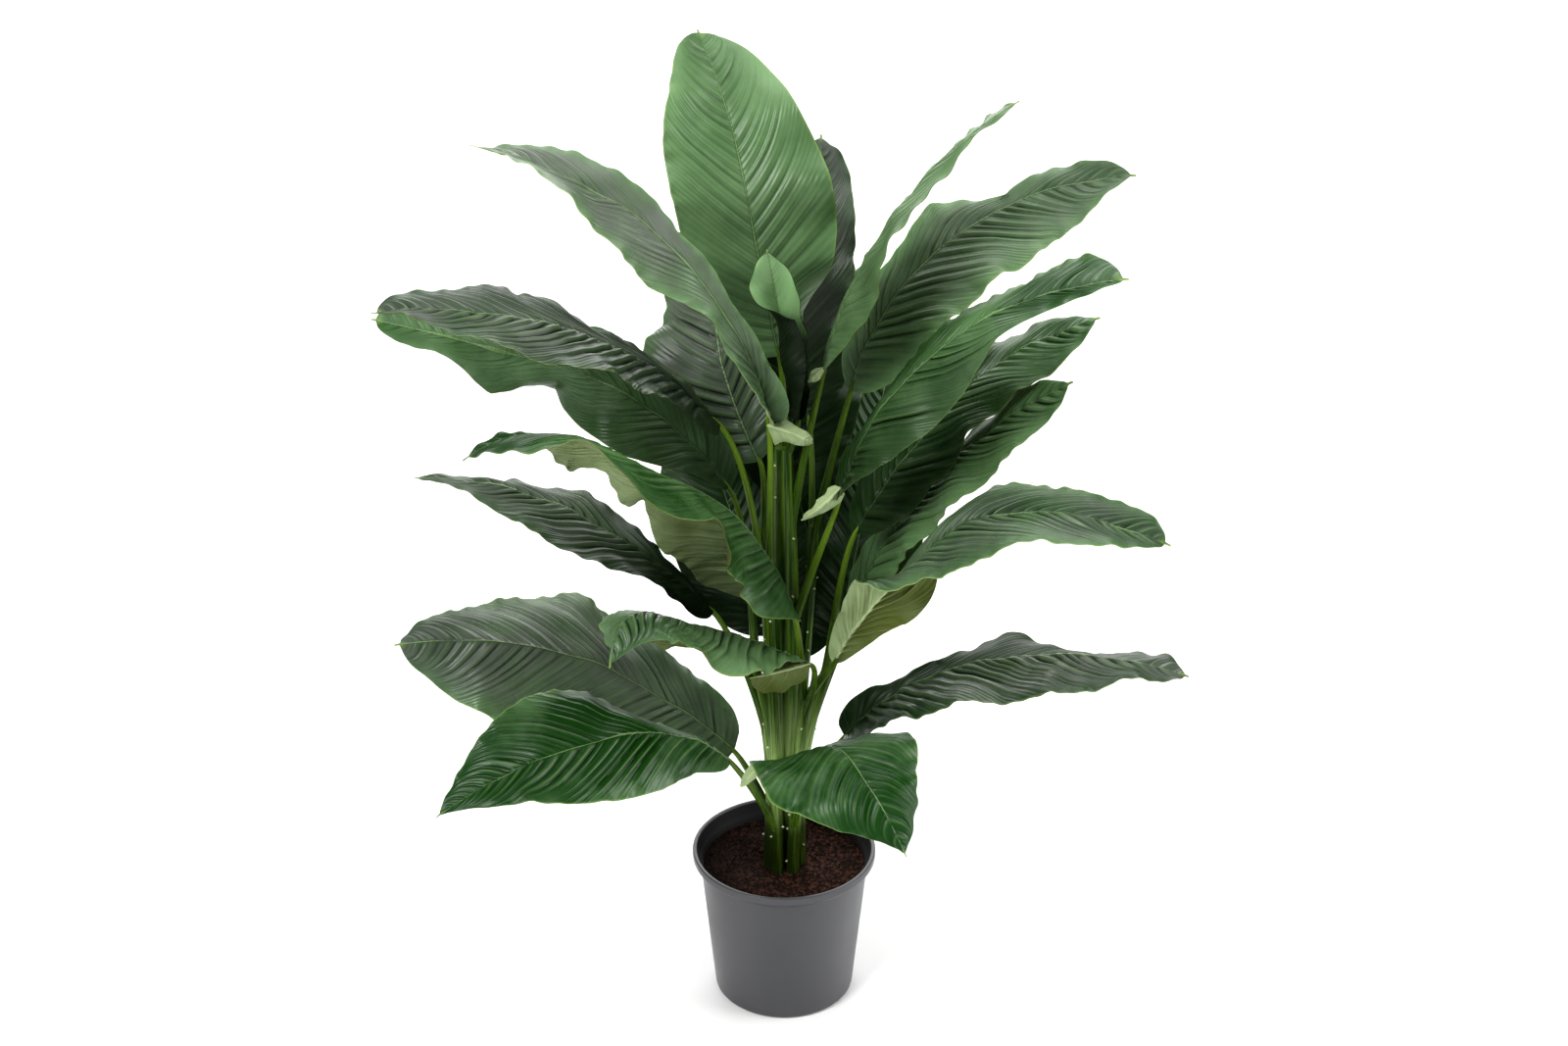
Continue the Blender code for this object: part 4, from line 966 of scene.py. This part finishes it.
def blade_shell(name, blade, seed):
    """A blade as a thin closed shell whose rows follow its side veins."""
    draw = np.random.default_rng(seed)
    halves = np.concatenate((-np.array(HALF_COLUMNS)[::-1], [0.0], HALF_COLUMNS))
    middle = len(HALF_COLUMNS)
    dense = blade_surface(blade)
    length = np.linalg.norm(np.diff(dense[:, middle], axis=0), axis=1).sum()
    veins = round(length / VEIN_SPACING)
    at = np.arange(veins * ROWS_PER_VEIN + 1) / ROWS_PER_VEIN
    row = np.interp(at, np.arange(veins + 1), vein_starts(draw, veins))
    run = vein_runs(draw, veins, at, row, halves)
    facing = surface_normals(dense)
    normals = read_at(facing, run)
    middle_up = read_at(np.repeat(facing[:, middle:middle + 1], len(halves), axis=1), run)
    off_rib = read_at(off_midrib(dense, middle), run)[:, :, 0]
    lift = humps(draw, run * length, off_rib, halves) * ends_faded(row, *HUMP_ENDS)
    grid = read_at(dense, run) + normals * lift[:, :, None]
    sunk, out = rib_relief(row, off_rib)
    upper = grid + normals * BLADE_THICKNESS / 2 - middle_up * sunk[:, :, None]
    lower = grid - normals * BLADE_THICKNESS / 2 - middle_up * out[:, :, None]
    fresh_and_lit, painted_sheen, relief, base_shade, lit_left, lit_right = LOOKS[name]
    room = vein_room(grid)
    # The blade's fresh green, partly painted light, its painted grey sheen, its painted shade and how lit
    # its underside is painted go to the finishes as numbers on its points.
    own = {
        "vein_row": at[:, None], "along": row[:, None], "half": halves,
        "off_rib": off_rib / (1 - RIB_TAPER * row)[:, None], "room": room,
        "power": relief * vein_power(draw, veins, at, row, halves) * room,
        "fresh_and_lit": fresh_and_lit, "painted_sheen": painted_sheen, "core_shade": core_shade_share(grid, row, base_shade),
        "pale": np.where(halves < 0, lit_left, lit_right),
    }
    numbers = {key: np.tile(np.broadcast_to(each, run.shape).ravel(), 2) for key, each in own.items()}
    numbers["facing"] = np.tile(normals.reshape(-1, 3), (2, 1))
    top, rest = shell_faces(*run.shape)
    points = np.concatenate([upper.reshape(-1, 3), lower.reshape(-1, 3)])
    mesh = new_mesh("blade_" + name, points, faces=top + rest, numbers=numbers)
    give(mesh, "upper", [1] * len(top) + [0] * len(rest), "FACE")
    return mesh


def draw_in(mesh):
    """Draws points that pass the solid model's box, or come close to it, softly inside."""
    places = mesh_places(mesh)
    margin = BOX_MARGIN * MM
    for corner, turn in ((CAD_BOX[0], 1), (CAD_BOX[1], -1)):
        inside = turn * (places - np.array(corner)) / margin
        softened = np.where(inside < 1, np.exp(np.minimum(inside, 1) - 1), inside)
        places = np.array(corner) + turn * softened * margin
    mesh.vertices.foreach_set("co", places.astype(np.float32).ravel())
    mesh.update()


def make_blades():
    """The blades, each in place of its solid, and the small lobes."""
    tree = pleats_tree(leaf_top(), leaf_under())
    for seed, (name, blade) in enumerate(BLADES.items()):
        mesh = grow("blade_" + name, blade_shell(name, blade, seed), tree)
        draw_in(mesh)
        finished("blade_" + name, mesh, "leaf_green", "leaf_" + name, sharp=BLADE_SHARP)
    for seed, (name, blade) in enumerate(LOBES.items()):
        mesh = grow(name, blade_shell(name, blade, LOBE_SEED + seed), tree)
        finished(name, mesh, "leaf_green", sharp=BLADE_SHARP)


def at_height(line, height):
    """The point of a rising line at a height."""
    return read_off(line, line[:, 2], height)


def stalk_line(stalk):
    """The stalk's middle line: straight up out of the soil, then on through its points."""
    (x, y), *rest = stalk
    low, bend = SOIL_TOP - STALK_UPRIGHT[0], SOIL_TOP + STALK_UPRIGHT[1]
    free, _ = smooth_path(((x, y, low), (x, y, bend), *rest), STALK_STEPS)
    free = free[free[:, 2] > bend]
    return np.concatenate(([(x, y, STALK_FOOT), (x, y, low), (x, y, bend)], free))


def stem_line(line, blade):
    """A leaf stem's middle line, from inside its stalk to just under its blade."""
    at = SOIL_TOP + (line[-1, 2] - SOIL_TOP) * blade["leaves"]
    root = at_height(line, at)
    leave = root - at_height(line, at - STEM_AIM)
    places, directions = smooth_path(blade["points"], DENSE_STATIONS)
    up = across(stepped(blade["face"], np.zeros(1)), directions[:1])[0]
    end = places[0] - up * STEM_TIP_RADIUS * STEM_SEAT
    reach = np.linalg.norm(end - root)
    leave *= reach * STEM_RISE / np.linalg.norm(leave)
    free = bridge(np.linspace(0, 1, STEM_STEPS)[:, None], root, leave,
                  end, directions[0] * reach * STEM_LEVEL)
    return np.concatenate((free, [end + directions[0] * STEM_OVERLAP]))


def stems_tree(material):
    """Round stems along their lines, a little ribbed, each with closed ends."""
    tree, given = new_tree("stem_tubes", {"Sides": 18, "Rib": 0.06})
    line = add(tree, "GeometryNodeMeshToCurve", None, {0: given.outputs[0]})
    circle = add(tree, "GeometryNodeCurvePrimitiveCircle", None,
                 {"Resolution": given.outputs["Sides"], "Radius": 1.0})
    where = add(tree, "GeometryNodeSplineParameter")
    ring = add(tree, "GeometryNodeStoreNamedAttribute", {"domain": "POINT"},
               {0: circle, "Name": "around", "Value": where.outputs["Factor"]})
    tube = add(tree, "GeometryNodeCurveToMesh", None,
               {0: line, 1: ring, "Scale": own_number(tree, "thick"), "Fill Caps": True})
    angle = times(tree, own_number(tree, "around"), 2 * math.pi * RIBS_ROUND)
    angle = calc(tree, "MULTIPLY_ADD", own_number(tree, "up"), RIB_TWIST, angle)
    swell = times(tree, calc(tree, "COSINE", angle),
                  times(tree, own_number(tree, "thick"), given.outputs["Rib"]))
    tube = push(tree, tube, add(tree, "GeometryNodeInputNormal"), swell)
    close_tree(tree, add(tree, "GeometryNodeSetMaterial", None, {0: tube, "Material": material}))
    return tree


def shoot_mesh(name, line, rise, thick):
    """A stalk's line and those of its leaf stems, with how thick and bright they are along them."""
    stems = {leaf: stem_line(line, blade) for leaf, blade in BLADES.items() if blade["stalk"] == name}
    lines = [line, *stems.values()]
    lengths = [len(part) for part in lines]
    width = np.append(stepped(STEM_RADII, np.linspace(0, 1, STEM_STEPS)), STEM_TIP_RADIUS * STEM_POINT)
    bright = [0.0] + [BRIGHT_STEMS.get(leaf, DULL_STEM) for leaf in stems]
    numbers = {
        "thick": np.concatenate([thick] + [width] * len(stems)) * MM,
        "up": np.concatenate([rise] + [np.linspace(0, 1, len(part)) for part in lines[1:]]),
        "leafy": np.repeat([0.0] + [1.0] * len(stems), lengths), "bright": np.repeat(bright, lengths),
    }
    last = set(np.cumsum(lengths) - 1)
    edges = [(step, step + 1) for step in range(sum(lengths)) if step not in last]
    return new_mesh("shoot_" + name, np.concatenate(lines), edges, numbers=numbers)


def make_shoots():
    """The shoots, each in place of its solid. It gives back where the pegs on them stand."""
    tree = stems_tree(stem_skin())
    pegs = []
    for number, (name, stalk) in enumerate(STALKS.items()):
        line = stalk_line(stalk)
        rise = np.clip((line[:, 2] - SOIL_TOP) / (line[-1, 2] - SOIL_TOP), 0, 1)
        thick = STALK_RADIUS + (STALK_TIP_RADIUS - STALK_RADIUS) * rise
        if name == "centre":
            thick = np.interp(line[:, 2], CENTRE_HEIGHTS, CENTRE_RADII)
        mesh = grow("stems_" + name, shoot_mesh(name, line, rise, thick), tree)
        finished("stems_" + name, mesh, "stem_green", "shoot_" + name)
        pegs += peg_places(line, thick, number)
    return pegs


def peg_places(line, thick, seed):
    """Where the pegs stand on a stalk, and which way each points."""
    draw = np.random.default_rng(PEG_SEED + seed)
    places = []
    height = SOIL_TOP + PEG_ENDS[0] + draw.uniform(0, PEG_STEP)
    while height < line[-1, 2] - PEG_ENDS[1]:
        radius = np.interp(height, line[:, 2], thick)
        angle = draw.uniform(0, 2 * math.pi)
        out = np.array((math.cos(angle), math.sin(angle), 0.0))
        places.append((at_height(line, height) + out * radius, out))
        height += PEG_STEP * draw.uniform(*PEG_UNEVEN)
    return places


def make_pegs(pegs):
    """The small pale pegs: long balls, each pointing out of its stalk."""
    tree, given = new_tree("stalk_pegs", {"Radius": PEG_RADIUS * MM, "Stretch": 1.8})
    ball = add(tree, "GeometryNodeMeshIcoSphere", None,
               {"Radius": given.outputs["Radius"], "Subdivisions": 2})
    turn = add(tree, "FunctionNodeAlignRotationToVector", {"axis": "Z"},
               {"Vector": own_number(tree, "facing", "FLOAT_VECTOR")})
    size = add(tree, "ShaderNodeCombineXYZ", None, {0: 1.0, 1: 1.0, 2: given.outputs["Stretch"]})
    placed = add(tree, "GeometryNodeInstanceOnPoints", None,
                 {0: given.outputs[0], "Instance": ball, "Rotation": turn, "Scale": size})
    close_tree(tree, add(tree, "GeometryNodeSetMaterial", None, {0: placed, "Material": peg_skin()}))
    places, facing = zip(*pegs)
    mesh = new_mesh("peg_places", places, numbers={"facing": facing})
    finished("pegs", grow("pegs", mesh, tree), "stem_green")


def turned(name, profile, sides):
    """A solid of revolution from a profile of (radius, height) that starts and ends on the axis."""
    angles = 2 * math.pi * np.arange(sides) / sides
    points = [(0, 0, profile[0][1])]
    for radius, height in profile[1:-1]:
        points += [(radius * math.cos(angle), radius * math.sin(angle), height) for angle in angles]
    points.append((0, 0, profile[-1][1]))
    faces = []
    rings = len(profile) - 2
    last = 1 + (rings - 1) * sides
    for side in range(sides):
        after = (side + 1) % sides
        faces.append((0, 1 + after, 1 + side))
        for ring in range(rings - 1):
            a, b = 1 + ring * sides + side, 1 + ring * sides + after
            faces.append((a, b, b + sides, a + sides))
        faces.append((last + side, last + after, len(points) - 1))
    return new_mesh(name, points, faces=faces)


def rounded(corners):
    """A profile whose corners (radius, height, rounding) are turned into short arcs."""
    result = [corners[0][:2]]
    for before, corner, after in zip(corners, corners[1:], corners[2:]):
        here = np.array(corner[:2], float)
        into = np.array(before[:2], float) - here
        out = np.array(after[:2], float) - here
        reach = min(corner[2], 0.45 * np.linalg.norm(into), 0.45 * np.linalg.norm(out))
        start = here + into / np.linalg.norm(into) * reach
        end = here + out / np.linalg.norm(out) * reach
        for share in np.linspace(0, 1, CORNER_POINTS):
            result.append(tuple((1 - share)**2 * start + 2 * share * (1 - share) * here
                                + share**2 * end))
    result.append(corners[-1][:2])
    return result


def inner_radius(height):
    """The pot wall's inner radius at a height below the neck."""
    taper = (POT_NECK_RADIUS - POT_FOOT_RADIUS) / POT_NECK_HEIGHT
    return POT_FOOT_RADIUS + taper * height - POT_WALL


def mark_inside(mesh):
    """Marks the points of the pot's inner side, for its finish."""
    x, y, height = mesh_places(mesh).T / MM
    limit = np.where(height > POT_NECK_HEIGHT, POT_LIP_RADIUS - POT_LIP_INSIDE,
                     inner_radius(height) + POT_WALL / 2)
    give(mesh, "inside", (np.hypot(x, y) < limit) & (height > POT_FLOOR / 2))


def pot_profile():
    """The pot's outline: rounded foot, tapered wall, a flare and a rolled lip, then the inner side."""
    lip, top, neck, turn = POT_LIP_RADIUS, POT_HEIGHT, POT_NECK_RADIUS, POT_NECK_HEIGHT
    return rounded([
        (0, 0, 0), (POT_FOOT_RADIUS - 0.3, 0, 5), (neck, turn, 1.5), (neck + 2.5, turn + 2, 1),
        (lip - 2, top - POT_LIP_DROP, 1), (lip, top - POT_LIP_DROP + 1.5, 1.5), (lip, top - 0.5, 2),
        (lip - 1.5, top, 1.5), (lip - 3.8, top - 0.4, 1.5), (lip - POT_LIP_ROLL, top - 3, 1.5),
        (neck + 0.4, turn + 3, 1.5), (inner_radius(turn), turn, 2), (inner_radius(POT_FLOOR), POT_FLOOR, 3),
        (0, POT_FLOOR, 0)])


def drained(mesh):
    """The pot's mesh with a circle of drain holes cut through its floor."""
    shell = new_object("pot_cut", mesh)
    profile = [(0, -2), (DRAIN_RADIUS, -2), (DRAIN_RADIUS, POT_FLOOR + 2), (0, POT_FLOOR + 2)]
    for angle in 2 * math.pi * (np.arange(DRAIN_COUNT) + 0.5) / DRAIN_COUNT:
        x, y = DRAIN_CIRCLE * math.cos(angle), DRAIN_CIRCLE * math.sin(angle)
        cutter = new_object("drain", turned("drain", profile, DRAIN_SIDES))
        cutter.data.transform(Matrix.Translation((x * MM, y * MM, 0)))
        shell.modifiers.new("drain", "BOOLEAN").object = cutter
    result = baked(shell)
    for piece in [shell] + [cut.object for cut in shell.modifiers]:
        bpy.data.objects.remove(piece)
    return result


def make_pot():
    """The pot, a shell turned about its axis."""
    mesh = turned("pot_shell", pot_profile(), POT_SIDES)
    mesh.materials.append(pot_plastic())
    mesh = drained(mesh)
    mark_inside(mesh)
    finished("pot_shell", mesh, "pot_plastic", "pot", sharp=35)


def crumbs_tree(material):
    """Loose crumbs all over the top of the soil, each turned and sized its own way."""
    tree, given = new_tree("peat_crumbs", {"Spacing": CRUMB_SPACING * MM, "Size": CRUMB_SIZE * MM,
                                           "Seed": CRUMB_SEED})
    rise = along_axis(tree, add(tree, "GeometryNodeInputNormal"), 2)
    level = along_axis(tree, add(tree, "GeometryNodeInputPosition"), 2)
    upward = times(tree, calc(tree, "GREATER_THAN", rise, 0.3),
                   calc(tree, "GREATER_THAN", level, (SOIL_TOP - 6) * MM))
    spots = add(tree, "GeometryNodeDistributePointsOnFaces", {"distribute_method": "POISSON"},
                {0: given.outputs[0], "Selection": upward, "Seed": given.outputs["Seed"],
                 "Distance Min": given.outputs["Spacing"], "Density Max": CRUMB_DENSITY})
    crumb = add(tree, "GeometryNodeMeshIcoSphere", None,
                {"Radius": given.outputs["Size"], "Subdivisions": 1})
    size, turn = (add(tree, "FunctionNodeRandomValue", {"data_type": "FLOAT_VECTOR"}, {0: least, 1: most})
                  for least, most in ((CRUMB_LEAST, CRUMB_MOST), ((0.0,) * 3, (CRUMB_TURN,) * 3)))
    placed = add(tree, "GeometryNodeInstanceOnPoints", None,
                 {0: spots, "Instance": crumb, "Scale": size.outputs[0], "Rotation": turn.outputs[0]})
    close_tree(tree, add(tree, "GeometryNodeSetMaterial", None, {0: placed, "Material": material}))
    return tree


def make_soil():
    """The peat: a closed filling with an uneven top, and the crumbs on it."""
    floor = POT_FLOOR + 0.5
    edge = inner_radius(SOIL_TOP) - SOIL_CLEAR
    profile = [(0, floor), (inner_radius(floor) - 4, floor), (edge - 0.3, SOIL_TOP - 2)]
    profile += [(edge * (1 - ring / SOIL_RINGS), SOIL_TOP) for ring in range(SOIL_RINGS)]
    mesh = turned("peat_bed", profile + [(0, SOIL_TOP)], SOIL_SIDES)
    draw = np.random.default_rng(SOIL_SEED)
    for vertex in mesh.vertices:
        x, y, height = vertex.co / MM
        if height > SOIL_TOP - 1:
            hump = math.sin(x / 9 + 1) * math.cos(y / 11) + 0.6 * math.sin((x + y) / 14)
            fade = 1 - (math.hypot(x, y) / edge) ** 4
            vertex.co.z += (SOIL_SWELL * hump * fade + draw.uniform(*SOIL_GRAIN)) * MM
    skin = peat()
    mesh.materials.append(skin)
    crumbs = grow("peat_crumbs", mesh.copy(), crumbs_tree(skin))
    finished("peat_bed", mesh, "soil_peat", "soil")
    finished("peat_crumbs", crumbs, "soil_peat", sharp=30)


def make_floor():
    """A plain pale floor."""
    corners = [(x * FLOOR_HALF, y * FLOOR_HALF, 0) for x, y in ((-1, -1), (1, -1), (1, 1), (-1, 1))]
    mesh = bpy.data.meshes.new("floor")
    mesh.from_pydata(corners, [], [(0, 1, 2, 3)])
    material, _, shader = new_material("floor_white", 0.9, 0.0)
    shader.inputs["Base Color"].default_value = FLOOR_WHITE
    mesh.materials.append(material)
    new_object("floor", mesh)


def make_lights():
    """A white sky and broad lamps."""
    world = bpy.data.worlds.new("studio")
    world.use_nodes = True
    sky = world.node_tree.nodes["Background"]
    sky.inputs["Color"].default_value = SKY_WHITE
    sky.inputs["Strength"].default_value = SKY_STRENGTH
    bpy.context.scene.world = world
    for name, place, aim, size, power in LIGHTS:
        light = bpy.data.lights.new(name, "AREA")
        light.size = size
        light.energy = power
        lamp = new_object(name, light)
        lamp.location = place
        lamp.rotation_euler = (Vector(aim) - Vector(place)).to_track_quat("-Z", "Y").to_euler()


def make_camera():
    """The camera that took the photograph, and how the picture is toned."""
    scene = bpy.context.scene
    camera = new_object("camera", bpy.data.cameras.new("camera"))
    camera.data.lens = CAMERA_LENS
    camera.data.sensor_width = CAMERA_SENSOR
    camera.location = CAMERA_PLACE
    camera.rotation_euler = (math.radians(CAMERA_TILT), 0, 0)
    scene.camera = camera
    scene.view_settings.view_transform = "Standard"
    scene.view_settings.look = "Medium High Contrast"


make_floor()
make_lights()
make_camera()
make_pot()
make_soil()
make_pegs(make_shoots())
make_blades()
